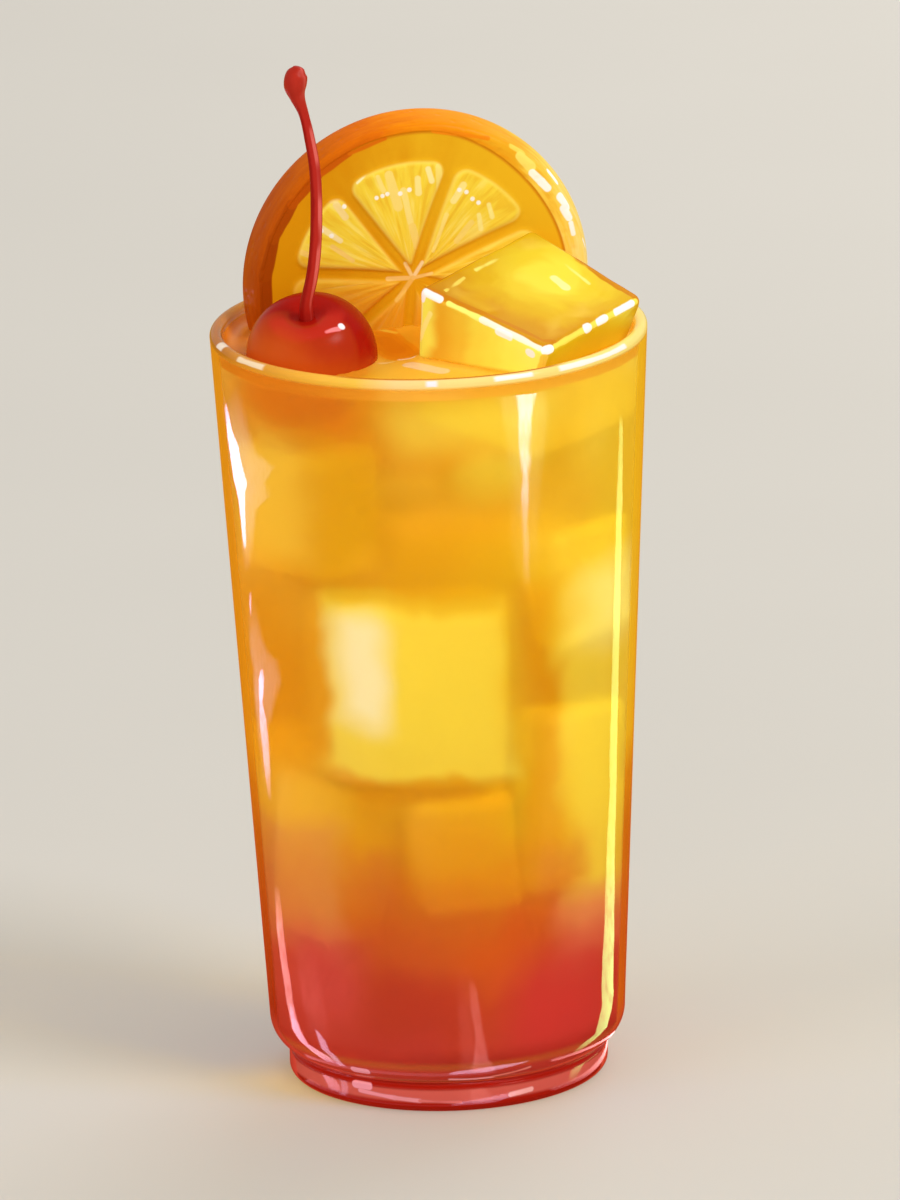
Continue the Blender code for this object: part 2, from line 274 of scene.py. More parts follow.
def ownDirection(angles, direction):
    # a direction in the room, as a piece with this turn knows it
    return turnOf(angles).to_matrix().inverted() @ Vector(direction)


def addPiece(name, mesh, material, smoothAngle=180, spot=(0, 0, 0), turn=(0, 0, 0)):
    # spot in mm, turn in degrees
    mesh.shade_smooth()
    if smoothAngle < 180:
        mesh.set_sharp_from_angle(angle=math.radians(smoothAngle))
    mesh.materials.append(material)
    piece = bpy.data.objects.new(name, mesh)
    piece.location = Vector(spot) * mm
    piece.rotation_euler = turnOf(turn)
    bpy.context.scene.collection.objects.link(piece)
    return piece


def store(mesh, name, values):
    mesh.attributes.new(name, "FLOAT", "POINT").data.foreach_set("value", values)


def faceOutward(mesh):
    work = bmesh.new()
    work.from_mesh(mesh)
    bmesh.ops.recalc_face_normals(work, faces=work.faces[:])
    work.to_mesh(mesh)
    work.free()
    return mesh


def skinRings(name, rings, first, last):
    # a closed body over rings of equal length, with a point at each end
    rows, sides = rings.shape[:2]
    corners = rings.reshape(-1, 3).tolist() + [tuple(first), tuple(last)]
    top = (rows - 1) * sides
    faces = []
    for low in range(0, top, sides):
        for k in range(sides):
            after = (k + 1) % sides
            faces.append((low + k, low + after, low + sides + after, low + sides + k))
    for low, point in ((0, len(corners) - 2), (top, len(corners) - 1)):
        for k in range(sides):
            faces.append((low + k, low + (k + 1) % sides, point))
    mesh = bpy.data.meshes.new(name)
    mesh.from_pydata(corners, [], faces)
    return faceOutward(mesh)


def turned(name, profile, sides):
    # a closed body turned from (radius, height) points in mm; its ends lie on the axis
    angles = np.arange(sides) * math.tau / sides
    circle = np.stack([np.cos(angles), np.sin(angles), 0 * angles], 1)
    rings = np.array([circle * radius + (0, 0, height) for radius, height in profile[1:-1]])
    first, last = (Vector((0, 0, height)) * mm for _, height in (profile[0], profile[-1]))
    return skinRings(name, rings * mm, first, last)


def bend(centre, radius, start, end, steps):
    # points of an arc, from one angle in degrees to the other
    angles = np.radians(np.linspace(start, end, steps + 1))
    return [(centre[0] + radius * math.cos(a), centre[1] + radius * math.sin(a)) for a in angles]


glass = {
    "height": 142.2,
    "rimRadius": 40,
    "lip": 1.2,  # half the wall's thickness at the lip
    "lowRadius": 32.9,
    "lowHeight": 11.4,
    "lowRound": 6.2,
    "lowWall": 2.8,
    "footRadius": 29.5,
    "footHeight": 5.0,
    "footRound": 1.6,
    "groove": 0.6,  # its depth, over the foot
    "floor": 6.6,  # height at which the drink's room starts
    "floorRound": 7.0,
    "hollow": (23, 0.8),  # radius and depth under the foot
    "sides": 192,
    "ior": 1.5,
    "lipColours": (  # of the painted light in the lip, from left to right, darker at the left
        (0.02, "bc7014"),
        (0.07, "d89028"),
        (0.2, "f0b03a"),
        (0.33, "f8c648"),
        (0.42, "fdd890"),
        (0.56, "fbe28c"),
        (0.9, "fce884"),
    ),
    "lipInside": "eeae3a",  # and the painted light on the inside of the wall, between lip and drink
    "lipLight": 0.88,  # how much of it there is
    "gleams": (  # painted highlights: bearings from and to, height under the lip and half height, and colour
        (-166, -161, 0.3, 0.4, "fff0dc"),
        (-151, -139, 0.5, 0.35, "fce6c0"),
        (-91, -88, 0.7, 0.5, "fff4fc"),
        (-73, -62, 0.6, 0.35, "fffef8"),
        (-54, -26, 0.6, 0.35, "fffef8"),
    ),
    "lipLine": "cc7810",  # thin line along the inside of the lip, in front
    "lipLineBearing": (-84, 31),  # degrees, its middle and half of its length
    "footLight": ("e0685c", 0.72),  # painted reflection of the drink's red in the foot
    "bendLight": ("d8483c", 0.5),  # and the same where the wall bends in over it
    "footLine": ("a41a0c", 0.95),  # painted shade: a dark line in the groove over the foot, and along the foot's bottom edge
    # where the light in each place starts and is full, mm
    "lipUnder": (2.1, 1.3),  # under the top
    "insideUnder": (5.4, 3.4),
    "insideOff": (0.9, 1.5),  # from the outside of the wall
    "lipLineOff": (0.7, 0.95),
    "footOver": (1.4, 0.4),  # over the foot
    "grooveLine": (0.2, 0.8, 0.3),  # its middle over the foot, half of its height, and its softness
    "bottomLine": (2.5, 1.7),  # over the table
    "bend": ((6.2, 7.0), (11, 8.5), (9, 8)),  # its bottom and top over the table, and off the wall
    "brim": (0.7, 0.76, 0.9),  # how far off square its outline starts and is full, and its strength
    "footHighlightShare": 0.9,  # how much of the painted highlights there is
    "footHighlights": (  # painted highlights as brush strokes: both ends, half width, all in mm, and colour
        ((-17.4, -26.7, 8.1), (-15.0, -28.0, 8.1), 0.75, "f8a0b0"),
        ((-17.3, -23.8, 4.3), (-14.8, -25.5, 4.3), 0.75, "f8a0b0"),
        ((-16.5, -24.5, 3.3), (-10.1, -27.7, 2.7), 0.45, "f498a4"),
        ((-10.1, -27.7, 2.7), (-5.5, -29.0, 2.4), 0.4, "ee949c"),
        ((-5.5, -29.0, 2.4), (2.0, -29.5, 2.1), 0.3, "e07470"),
        ((11.2, -27.3, 2.6), (15.0, -25.4, 2.9), 0.5, "ffb4b0"),
        ((0.1, -31.2, 7.0), (8.0, -30.0, 6.9), 0.35, "fbaab4"),
        ((8.0, -30.2, 7.1), (14.8, -28.3, 8.1), 0.3, "f08a80"),
    ),
    "brimDepth": (0.6, 3.1),  # how deep in the wall it shows, and how much deeper at the foot, mm
    "brimColours": (  # painted reflection of the drink in the outline, darker at the left: height in mm, and colours of the outline at the left and at the right
        (6, "e04c40", "e4543c"),
        (9.5, "d44a3c", "dc5434"),
        (14, "ac280a", "dc6c10"),
        (28, "ba4208", "d46410"),
        (48, "ca5a08", "d0680a"),
        (58, "de780e", "de820c"),
        (66, "ee9616", "f5bc20"),
        (142, "ec9414", "f5be22"),
    ),
}


def wallShare(height):
    return (height - glass["lowHeight"]) / (glass["height"] - glass["lip"] - glass["lowHeight"])


def outerRadius(height):
    return glass["lowRadius"] + (glass["rimRadius"] - glass["lowRadius"]) * wallShare(height)


def innerRadius(height):
    wall = glass["lowWall"] + (2 * glass["lip"] - glass["lowWall"]) * wallShare(height)
    return outerRadius(height) - wall


def fromLeft(x):
    # 0 at the left of the rim, and 1 at its right
    return x / (2 * glass["rimRadius"]) + 0.5


def hollowFloor(reach):
    # the inside of the glass from its axis out to the wall; reach takes it into the glass
    turn = glass["floor"] + glass["floorRound"]
    centre = (innerRadius(turn) - glass["floorRound"], turn)
    flat = [(r, glass["floor"] - reach) for r in np.linspace(0, centre[0], 6)[:-1]]
    return flat + bend(centre, glass["floorRound"] + reach, -90, 0, 16)


def lipColour(finish, x, bearing, under, offWall):
    # painted light in the lip, with small painted highlights on it and a thin darker line inside them
    colour = finish.shade(fromLeft(x), glass["lipColours"])
    ragged = (finish.cloud(160) - 0.5) * 0.5
    for first, last, below, half, code in glass["gleams"]:
        turn = finish.within(bearing, (first + last) / 2, (last - first) / 2 - 0.1, 0.7)
        rise = finish.maths("ABSOLUTE", under - below) + ragged
        colour = finish.mix(colour, paint(code), turn * finish.step(rise, half + 0.15, half - 0.1))
    middle, half = glass["lipLineBearing"]
    line = finish.step(offWall, *glass["lipLineOff"]) * finish.within(bearing, middle, half, 5)
    return finish.mix(colour, paint(glass["lipLine"]), line)


def brimFinish(finish, height, x):
    # painted reflection: the drink's colour, as the glass's outline gathers it, darker at the left
    left, right = finish.shadePair(height, glass["brimColours"], glass["brimColours"][-1][0])
    colour = finish.mix(left, right, finish.step(x, -12, 12))
    return finish.surface(Base_Color=colour, Roughness=0.1, Specular_IOR_Level=0.15)


def glassFinish():
    finish = Finish("clear glass")
    x, y, height = finish.split(finish.point)
    bearing = finish.maths("ARCTAN2", y, x) * (180 / math.pi)
    top, footTop = glass["height"], glass["footHeight"]
    offWall = outerRadius(0) + (outerRadius(top) - outerRadius(0)) / top * height - length(x, y)
    lip = finish.step(top - height, *glass["lipUnder"])
    inside = finish.step(top - height, *glass["insideUnder"]) * finish.step(offWall, *glass["insideOff"])
    foot = finish.step(height - footTop, *glass["footOver"])
    middle, half, soft = glass["grooveLine"]
    line = finish.within(height - footTop, middle, half, soft)
    line = finish.most(line, finish.step(height, *glass["bottomLine"]))
    low, high, off = glass["bend"]
    bent = finish.step(height, *low) * finish.step(height, *high) * finish.step(offWall, *off)

    # painted light and shade in the glass: the lip's light, the drink's red mirrored in the foot and the
    # bend, and dark lines at the groove and the foot's bottom edge
    colour = lipColour(finish, x, bearing, top - height, offWall)
    colour = finish.mix(paint(glass["lipInside"]), colour, lip)
    colour = finish.mix(colour, paint(glass["footLight"][0]), foot)
    colour = finish.mix(colour, paint(glass["bendLight"][0]), bent * (1 - line))
    colour = finish.mix(colour, paint(glass["footLine"][0]), line)
    ragged = (finish.cloud(160) - 0.5) * 0.3
    # painted highlights on the foot, as brush strokes
    dabs = 0
    for start, end, half, code in glass["footHighlights"]:
        dab = finish.stroke(start, end, half, ragged)
        colour = finish.mix(colour, paint(code), dab)
        dabs = finish.most(dab, dabs)
    share = finish.most(lip, inside) * glass["lipLight"] + foot * glass["footLight"][1]
    share = finish.most(share, line * glass["footLine"][1], bent * glass["bendLight"][1])
    share = finish.most(share, dabs * glass["footHighlightShare"])

    clear = finish.surface(
        Base_Color=(0.98, 0.99, 0.985), Roughness=0.0, IOR=glass["ior"], Transmission_Weight=1.0
    )
    lit = finish.surface(Base_Color=colour, Roughness=0.1, Specular_IOR_Level=0.15)
    body = finish.layer(share, clear, lit)
    start, full, strength = glass["brim"]
    facing = finish.add("ShaderNodeLayerWeight", None, {"Blend": 0.5}, "Facing")
    least, more = glass["brimDepth"]
    limit = least + finish.step(height, 11, 8) * more
    rim = finish.step(facing, start, full) * finish.step(offWall - limit, 0.2, -0.1)
    rim = rim * (1 - lip) * (1 - dabs) * strength
    # the painted reflection of the drink, where the glass's outline gathers it
    body = finish.layer(rim, body, brimFinish(finish, height, x))
    return finish.close(finish.lampsPass(body, (0.96, 0.96, 0.96)))


def buildTumbler():
    height, foot = glass["height"], glass["footRadius"]
    lowRadius, lowRound = glass["lowRadius"], glass["lowRound"]
    lean = math.degrees(math.atan2(glass["rimRadius"] - lowRadius, height - glass["lowHeight"]))
    radius, depth = glass["hollow"]
    profile = [(0, depth), (radius * 0.5, depth), (radius - 0.6, depth)]
    profile += [(radius, depth - 0.08), (radius + 1, 0.4), (radius + 1.9, 0.04), (radius + 2.6, 0)]
    profile += bend((foot - glass["footRound"], glass["footRound"]), glass["footRound"], -90, 0, 10)
    profile += bend((foot - 0.5, glass["footHeight"] - 0.5), 0.5, 0, 80, 6)
    profile += [(foot - glass["groove"] * 0.9, glass["footHeight"] + 0.2)]
    profile += [(foot - glass["groove"], glass["footHeight"] + 0.42)]
    profile += bend((lowRadius - lowRound, glass["lowHeight"]), lowRound, -62, -lean, 18)
    profile += [(outerRadius(h), h) for h in np.linspace(15, 138, 28)]
    profile += bend((glass["rimRadius"] - glass["lip"], height - glass["lip"]), glass["lip"], 0, 180, 18)
    profile += [(innerRadius(h), h) for h in np.linspace(138, 18, 26)]
    profile += hollowFloor(0)[::-1]
    piece = addPiece("tumblerGlass", turned("tumblerGlass", profile, glass["sides"]), glassFinish())
    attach(piece, "root")
    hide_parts("tumbler")


iceBlock = {
    "top": (19.0, -10.5, 150.4),
    "turn": (17.4, -4.8, 55.3),
    "half": (16.3, 14.6),  # its width and depth, mm
    "height": 25,
    "taper": 0.82,  # its bottom's width as a share of its top's
    "round": 1.6,
    "cornerPull": (1.6, -1.8, 1.5),  # of the top's far corner, so that it isn't quite square
    "dish": (1.2, 0.80, 0.16),  # depth in mm, and where its slope starts and how wide it is
    # gold tint of its clear part, a painted reflection of the drink round it
    "clear": "ffe870",
    "bright": (8, 0.5),  # the middle of the painted light on its top, mm
    "spread": 26,  # mm from there to the last colour
    "topColours": (  # painted light, outwards from there, darker towards the edges
        (0.12, "f8e444"),
        (0.28, "ecd02e"),
        (0.5, "e0b418"),
        (0.75, "d2960c"),
        (1.0, "cc8c0a"),
    ),
    "leftColours": (  # painted light on its left side, from the near corner to the far one
        (0.05, "f8ff70"),
        (0.26, "f6f860"),
        (0.4, "f2ec54"),
        (0.55, "f0e04c"),
        (0.68, "eac43a"),
        (0.84, "e4ae2c"),
        (0.95, "f4f05c"),
    ),
    # painted shade on its right side
    "rightColours": ((0.1, "dcba1a"), (0.5, "dcb61a"), (0.8, "e0c428"), (0.97, "cc960e")),
    "glow": 0.1,  # a painted glow on its two near sides, for the light that comes through
    "line": "f6d450",  # painted highlight along the slope of the dish
    "frosted": (0.9, 0.08),  # how much of it is frost and not clear, and how much more on its edges
    "strokes": (  # painted highlights and shade as brush strokes: both ends, half width, all in mm, and colour
        ((-15.2, 12.2, 0), (-12.2, -12.8, 0), 1.0, "cc800a"),
        ((16.6, 12.0, 0), (14.6, -13.5, 0), 1.0, "d0860a"),
        ((-15.5, 14.0, 0), (17.0, 13.0, 0), 0.9, "c87e08"),
        ((15.8, 11.0, 0), (15.2, 2.0, 0), 0.5, "fcf080"),
        ((13.4, 3.0, 0), (11.6, -5.0, 0), 0.4, "fcf080"),
        ((-13.0, 10.4, 0), (-6.0, 11.0, 0), 0.35, "f6dc5c"),
        ((-2.2, 11.2, 0), (6.3, 10.7, 0), 0.4, "faec70"),
        ((8.4, 0.6, -1.1), (7.6, -2.4, -1.1), 1.1, "fbf8a0"),
        ((-15.6, 13.6, -2.3), (-14.9, 12.9, -11.0), 0.55, "fcf08c"),
        ((-14.9, 12.9, -11.0), (-15.7, 11.2, -4.3), 0.55, "fcf08c"),
        ((-15.6, 13.4, -2.2), (-15.6, 13.2, -0.6), 0.7, "fffaf6"),
        ((-15.6, 13.2, -0.6), (-15.6, 9.8, -0.5), 0.7, "fffaf6"),
        ((-15.6, 7.8, -0.5), (-15.6, 0.4, -0.5), 0.55, "fdf478"),
        ((-15.6, 0.3, -0.5), (-15.6, -12.3, -0.5), 0.6, "fff8dc"),
        ((-15.8, -3.6, -1.1), (-15.8, -6.0, -1.1), 0.8, "fffef8"),
        ((-15.9, -10.6, -2.2), (-15.9, -11.1, -2.2), 0.8, "fffef8"),
        ((-15.4, -13.6, -0.5), (-13.8, -13.9, -0.4), 0.85, "fffef8"),
        ((-15.4, -13.7, -2.0), (-14.8, -13.1, -7.5), 0.7, "f8d84c"),
        ((-12.5, -13.9, -0.5), (14.0, -13.9, -0.5), 0.6, "fce458"),
        ((-2.1, -13.9, -0.5), (-1.5, -13.9, -0.5), 0.95, "fffef8"),
        ((1.6, -13.9, -0.5), (4.0, -13.9, -0.5), 0.7, "fffef8"),
        ((7.4, -13.9, -0.5), (12.8, -13.9, -0.5), 0.65, "fffef8"),
    ),
    "waterline": "e4940e",
    "sunk": "fff6b4",  # its part under the drink
}


def roundedBox(name, half, height, taper, rounding, cuts, cornerPull=(0, 0, 0)):
    # a box that narrows downwards from its top at height 0, all in mm
    work = bmesh.new()
    bmesh.ops.create_cube(work, size=2)
    for vert in work.verts:
        low = vert.co.z < 0
        scale = taper if low else 1
        vert.co = Vector((vert.co.x * half[0] * scale, vert.co.y * half[1] * scale, -height if low else 0))
        if not low and vert.co.x > 0 and vert.co.y > 0:
            vert.co += Vector(cornerPull)
    bmesh.ops.bevel(work, geom=work.edges[:], offset=rounding, segments=5, profile=0.5, affect="EDGES")
    bmesh.ops.subdivide_edges(work, edges=work.edges[:], cuts=cuts, use_grid_fill=True)
    mesh = bpy.data.meshes.new(name)
    work.to_mesh(mesh)
    work.free()
    return mesh


def edgeCloseness(x, y, z):
    # 1 on an edge of the floating ice, and 0 from 2 mm off
    halfX, halfY = iceBlock["half"]
    height = iceBlock["height"]
    scale = 1 + (iceBlock["taper"] - 1) * min(1, max(0, -z / height))
    gaps = sorted((halfX * scale - abs(x), halfY * scale - abs(y), min(-z, height + z)))
    return max(0, 1 - math.hypot(max(0, gaps[0]), max(0, gaps[1])) / 2)


def buildIceBlock():
    half, height, taper = iceBlock["half"], iceBlock["height"], iceBlock["taper"]
    mesh = roundedBox("iceBlock", half, height, taper, iceBlock["round"], 7, iceBlock["cornerPull"])
    depth, start, width = iceBlock["dish"]
    edges, slopes = [], []
    for vert in mesh.vertices:
        x, y, z = vert.co
        edges.append(edgeCloseness(x, y, z))
        out = max(abs(x) / half[0], abs(y) / half[1])
        share = min(1, max(0, (start - out) / width)) if z > -1.0 else 0
        z -= depth * share * share * (3 - 2 * share)
        slopes.append(4 * share * (1 - share))
        spot = Vector((x, y, z))
        wobble = noise.noise_vector(spot * 0.09 + Vector((7, 3, 1))) * 0.35
        wobble += noise.noise_vector(spot * 0.3) * 0.10
        vert.co = (spot * 0.985 + wobble) * mm
    faceOutward(mesh)
    store(mesh, "edge", edges)
    store(mesh, "slope", slopes)
    piece = addPiece("iceBlock", mesh, iceFinish(), 60, iceBlock["top"], iceBlock["turn"])
    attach(piece, "root")
    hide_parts("ice_block")


def iceFinish():
    finish = Finish("ice")
    x, y, z = finish.split(finish.point)
    brush = finish.cloud(70, 3, 0.55, distortion=0.8) - 0.5
    narrow = 1 + z * (1 - iceBlock["taper"]) / iceBlock["height"]
    side, near = x / narrow, y / narrow
    # painted light and shade: brightest round the light's middle on the top, lighter on the left side,
    # darker on the right side
    out = length(x - iceBlock["bright"][0], y - iceBlock["bright"][1]) + brush * 14
    colour = finish.shade(out / iceBlock["spread"], iceBlock["topColours"], "EASE")
    left = finish.shade(near / 29 + 0.5 + brush * 0.25, iceBlock["leftColours"], "EASE")
    right = finish.shade(side / 32 + 0.5 + brush * 0.3, iceBlock["rightColours"], "EASE")
    halfX, halfY = iceBlock["half"]
    onLeft = finish.step(side, 1.2 - halfX, 0.7 - halfX)
    onRight = finish.step(near, 1.2 - halfY, 0.7 - halfY)
    colour = finish.mix(finish.mix(colour, left, onLeft), right, onRight)
    # painted highlight along the dish's slope
    swirl = finish.stored("slope") * finish.step(finish.cloud(75, 1), 0.52, 0.6)
    colour = finish.mix(colour, paint(iceBlock["line"]), swirl * 0.6)
    # painted highlights and shade as brush strokes
    colour = finish.strokes(colour, iceBlock["strokes"], (finish.cloud(220) - 0.5) * 0.7)
    up = ownDirection(iceBlock["turn"], (0, 0, 1))
    overDrink = finish.towards(up) + (iceBlock["top"][2] - drink["level"])
    colour = finish.mix(colour, paint(iceBlock["waterline"]), finish.step(overDrink, 1.5, 0.4) * 0.7)
    colour = finish.mix(colour, paint(iceBlock["sunk"]), finish.step(overDrink, 0.5, -1.5))

    normal = finish.bump(finish.cloud(70, 3, distortion=0.4), 1.2 * mm, 0.5)
    clear = finish.surface(
        Base_Color=paint(iceBlock["clear"]),
        Roughness=0.03,
        IOR=1.31,
        Transmission_Weight=1.0,
        Normal=normal,
    )
    # frost that carries the painted light and shade, with a painted glow on its near sides
    frost = finish.surface(
        Base_Color=colour,
        Roughness=0.2,
        Specular_IOR_Level=0.08,
        Emission_Color=finish.mix((0, 0, 0), colour, finish.most(onLeft, onRight)),
        Emission_Strength=iceBlock["glow"],
        Normal=normal,
    )
    least, more = iceBlock["frosted"]
    body = finish.layer(least + finish.step(finish.stored("edge"), 0.25, 0.7) * more, clear, frost)
    return finish.close(finish.lampsPass(body, (1.0, 0.9, 0.6)))


drink = {
    "level": 138.4,
    "film": (2.2, 0.8),  # how far it climbs the glass, and how fast it falls off it, mm
    "reach": 0.1,  # into the glass, mm
    "sides": 160,
    "milk": (0.85, 0.66),  # how much of it is cloud and not clear, at the bottom and above
    "milkFrom": (24, 56),  # height at which that changes, mm
    "roughness": 0.28,
    "shine": 0.1,
    "soak": ((0.99, 0.93, 0.15), 80),  # colour and density of what it takes from light on its way
    "iceRoom": 0.993,  # of the floating ice's size
    "swell": (0.8, 1.1),  # how far it climbs what stands in it, and how fast that falls off, mm
    "ripple": 0.25,  # mm
    "waver": 14,  # how far its layers waver, mm
    "layerSpan": 140,  # the height that they are set out over, mm
    "layers": (  # height in mm, colour of the cloud, and tint of the clear part
        (4, "c84038", "ee7c70"),
        (14, "c64032", "e8665e"),
        (24, "ca4a28", "ee7850"),
        (34, "d66422", "f4a060"),
        (44, "e28618", "f8c878"),
        (56, "e69814", "ffe28c"),
        (137, "e8a414", "fff09c"),
    ),
    "goldFrom": (42, 62),  # height over which these colours take the layers' place, mm
    "shadedAcross": (  # the upper drink's gold with painted light and shade, from left to right: orange at the left, lighter at the right, with a light strip at the left edge
        (0.05, "ffbe44"),
        (0.13, "f0a828"),
        (0.2, "e49616"),
        (0.5, "dea412"),
        (0.74, "e6b61a"),
        (0.84, "f8d438"),
        (0.94, "fce858"),
    ),
    "top": ((0.16, "e2800f"), (0.42, "f0b02c"), (0.7, "f2c038")),  # its surface, from left to right, with painted shade at the left
    "pool": ("f8c84c", 0.8),  # a painted pool of light on its surface at the front
    "poolFrom": (-7, -12),  # y where it starts and is full, mm
    "poolAcross": (-1, 9, 3),  # its middle, half of its width and its softness, mm
    "poolStrokes": (  # painted shade by the wheel and painted highlights, as brush strokes on its surface: both ends, half width, all in mm, and colour
        ((-9.6, 7.0), (-5.0, -8.0), 4.2, "ea9418"),
        ((-8.8, 5.4), (-5.4, -6.4), 3.0, "e48612"),
        ((-8.2, 4.0), (-5.8, -5.0), 1.8, "de7a0e"),
        ((-10.0, 9.3), (-6.0, 7.6), 0.5, "f4c63c"),
        ((-3.5, -15.5), (2.2, -19.5), 1.7, "fbe0b8"),
        ((-13.0, -18.0), (-6.2, -12.5), 0.5, "fce49a"),
        ((-5.3, -11.4), (-2.8, -11.6), 0.8, "fff6ff"),
    ),
    "lightShadeAndToneFrom": (8, -4),  # y where these start and are full, mm
    "lightShadeAndTone": (  # painted light and shade in its front, such as the cherry's shadow and the light round sunk ice, with some of the drink's own tone: middle, half width and height, softness, all in mm, colour and share
        ((-23, 138), (9.5, 7.5), 4, "e88414", 0.9),
        ((-28, 117), (5.5, 12), 4.5, "f8c440", 0.85),
        ((-8, 114), (10, 12), 7, "d89a0c", 0.75),
        ((6, 117), (12, 4), 5, "f2b424", 0.8),
        ((13, 125), (7, 5), 5, "f6dc40", 0.9),
        ((-4, 124), (6, 3), 4, "f8c02c", 0.75),
        ((-11, 105), (3, 4), 4, "eeac20", 0.7),
        ((7, 134), (15, 4.5), 5, "f4de46", 0.95),
        ((26, 113), (10, 7), 6, "f4c62e", 0.9),
        ((34, 120), (5, 18), 4, "f6d634", 0.9),
        ((28, 85), (6, 6), 3, "ffe444", 1.0),
        ((30.5, 93), (4, 8), 5, "fdf898", 1.0),
        ((-28, 80), (4.5, 17), 4, "f09c12", 0.8),
        ((-24, 95), (5, 5), 4, "f2ac28", 0.7),
        ((18, 72), (3.5, 30), 2.5, "e39406", 0.85),
        ((-4, 82), (16.5, 17.5), 1.8, "f8e04c", 0.95),
        ((-4, 99), (16, 1.8), 1.6, "dcac1c", 0.75),
        ((14, 84), (3, 17), 3, "eec02c", 0.5),
        ((-14, 84.5), (4.5, 10), 3.5, "fffad4", 1.0),
        ((-3, 61), (14, 2.5), 2.5, "f09a0c", 0.8),
        ((-3, 53), (13, 5.5), 3.5, "e89a18", 0.7),
        ((27.5, 57), (5, 25), 3, "f8e048", 0.92),
        ((-26, 58), (6, 7), 4, "f2b83a", 0.8),
        ((-25, 42), (6.5, 13.5), 3, "df8848", 0.85),
        ((-14, 45), (4.5, 5), 3, "d8682c", 0.6),
        ((20, 45), (4, 5), 3, "d9742a", 0.7),
        ((26, 31), (6, 7), 4, "f08c58", 0.9),
        ((10, 32), (6, 6), 5, "e0641c", 0.7),
        ((-22, 25), (7, 8), 5, "dc5048", 0.8),
        ((21, 20), (9, 9), 5, "d63a38", 0.8),
        ((-4, 20), (9, 6), 5, "be3c26", 0.7),
    ),
}


def drinkFinish():
    finish = Finish("drink")
    x, y, z = finish.split(finish.point)
    swirl = finish.cloud(48, distortion=0.5) - 0.5
    slow = finish.cloud(17, 1) - 0.5
    height = z + drink["waver"] * slow + drink["waver"] * swirl
    colour, tint = finish.shadePair(height, drink["layers"], drink["layerSpan"])
    # the upper drink's gold, with painted light and shade across it, lighter at the right
    gold = finish.shade(fromLeft(x) + 0.15 * swirl, drink["shadedAcross"])
    colour = finish.mix(colour, gold, finish.step(height, *drink["goldFrom"]))
    bentX = x + 9 * (finish.cloud(55) - 0.5)
    bentZ = z + 12 * swirl
    # patches of painted light and shade, and of the drink's own tone, in its front
    front = finish.step(y, *drink["lightShadeAndToneFrom"])
    for (middle, level), (halfX, halfZ), soft, code, share in drink["lightShadeAndTone"]:
        patch = finish.within(bentX, middle, halfX, soft) * finish.within(bentZ, level, halfZ, soft)
        colour = finish.mix(colour, paint(code), patch * front * share)
    onTop = finish.step(z, drink["level"] - 0.6, drink["level"] - 0.2)
    # its surface, with painted shade at the left
    top = finish.shade(fromLeft(x) + 0.2 * swirl, drink["top"], "EASE")
    colour = finish.mix(colour, top, onTop)
    # painted pool of light on its surface at the front
    pool = finish.step(y + 12 * swirl, *drink["poolFrom"]) * onTop
    pool = pool * finish.within(x + 16 * swirl, *drink["poolAcross"])
    code, share = drink["pool"]
    colour = finish.mix(colour, paint(code), pool * share)
    # painted shade by the wheel, and painted highlights, on its surface
    colour = finish.strokes(colour, atHeight(drink["level"] + 0.2, drink["poolStrokes"]), swirl * 2)

    gloss = {"Roughness": drink["roughness"], "IOR": 1.33, "Specular_IOR_Level": drink["shine"]}
    clear = finish.surface(Base_Color=tint, Transmission_Weight=1.0, **gloss)
    cloud = finish.surface(Base_Color=colour, **gloss)
    low, high = drink["milk"]
    milk = low + finish.step(height, *drink["milkFrom"]) * (high - low)
    body = finish.layer(milk, clear, cloud)
    hue, density = drink["soak"]
    soak = finish.add("ShaderNodeVolumeAbsorption", None, {"Color": hue, "Density": density})
    return finish.close(finish.lampsPass(body, (1.0, 0.95, 0.8)), soak)


def gapsToGarnish(spot, wheelMiddle, wheelFront, toIce):
    # how far a spot at the surface is from the cherry, from the wheel and from the floating ice, mm
    toCherry = (spot - Vector(cherry["centre"])).length - cherry["radius"]
    off = spot - wheelMiddle
    through = abs(off @ wheelFront) - wheel["thick"] / 2
    around = (off - wheelFront * (off @ wheelFront)).length
    around -= faceRadius(wheel["orange"], wheel["backOffset"])
    x, y, z = toIce @ spot
    scale = 1 + (iceBlock["taper"] - 1) * -z / iceBlock["height"]
    besideIce = max(abs(x) - iceBlock["half"][0] * scale, abs(y) - iceBlock["half"][1] * scale)
    return toCherry, max(through, around), besideIce


def liftSurface(mesh):
    # the drink climbs a little where the cherry, the wheel and the ice stand in it
    wheelFront, wheelMiddle = wheelPlace()
    toIce = Matrix.LocRotScale(Vector(iceBlock["top"]), turnOf(iceBlock["turn"]), None).inverted()
    climb, fall = drink["swell"]
    for vert in mesh.vertices:
        spot = vert.co / mm
        if spot.z < drink["level"] - 0.01:
            continue
        gaps = gapsToGarnish(spot, wheelMiddle, wheelFront, toIce)
        lift = min(1.0, sum(climb * math.exp(-max(0, gap) / fall) for gap in gaps))
        ripple = noise.noise(spot * 0.11) * drink["ripple"]
        offWall = innerRadius(drink["level"]) - math.hypot(spot.x, spot.y)
        vert.co.z += (lift + ripple) * min(1, max(0, offWall / 1.5)) * mm


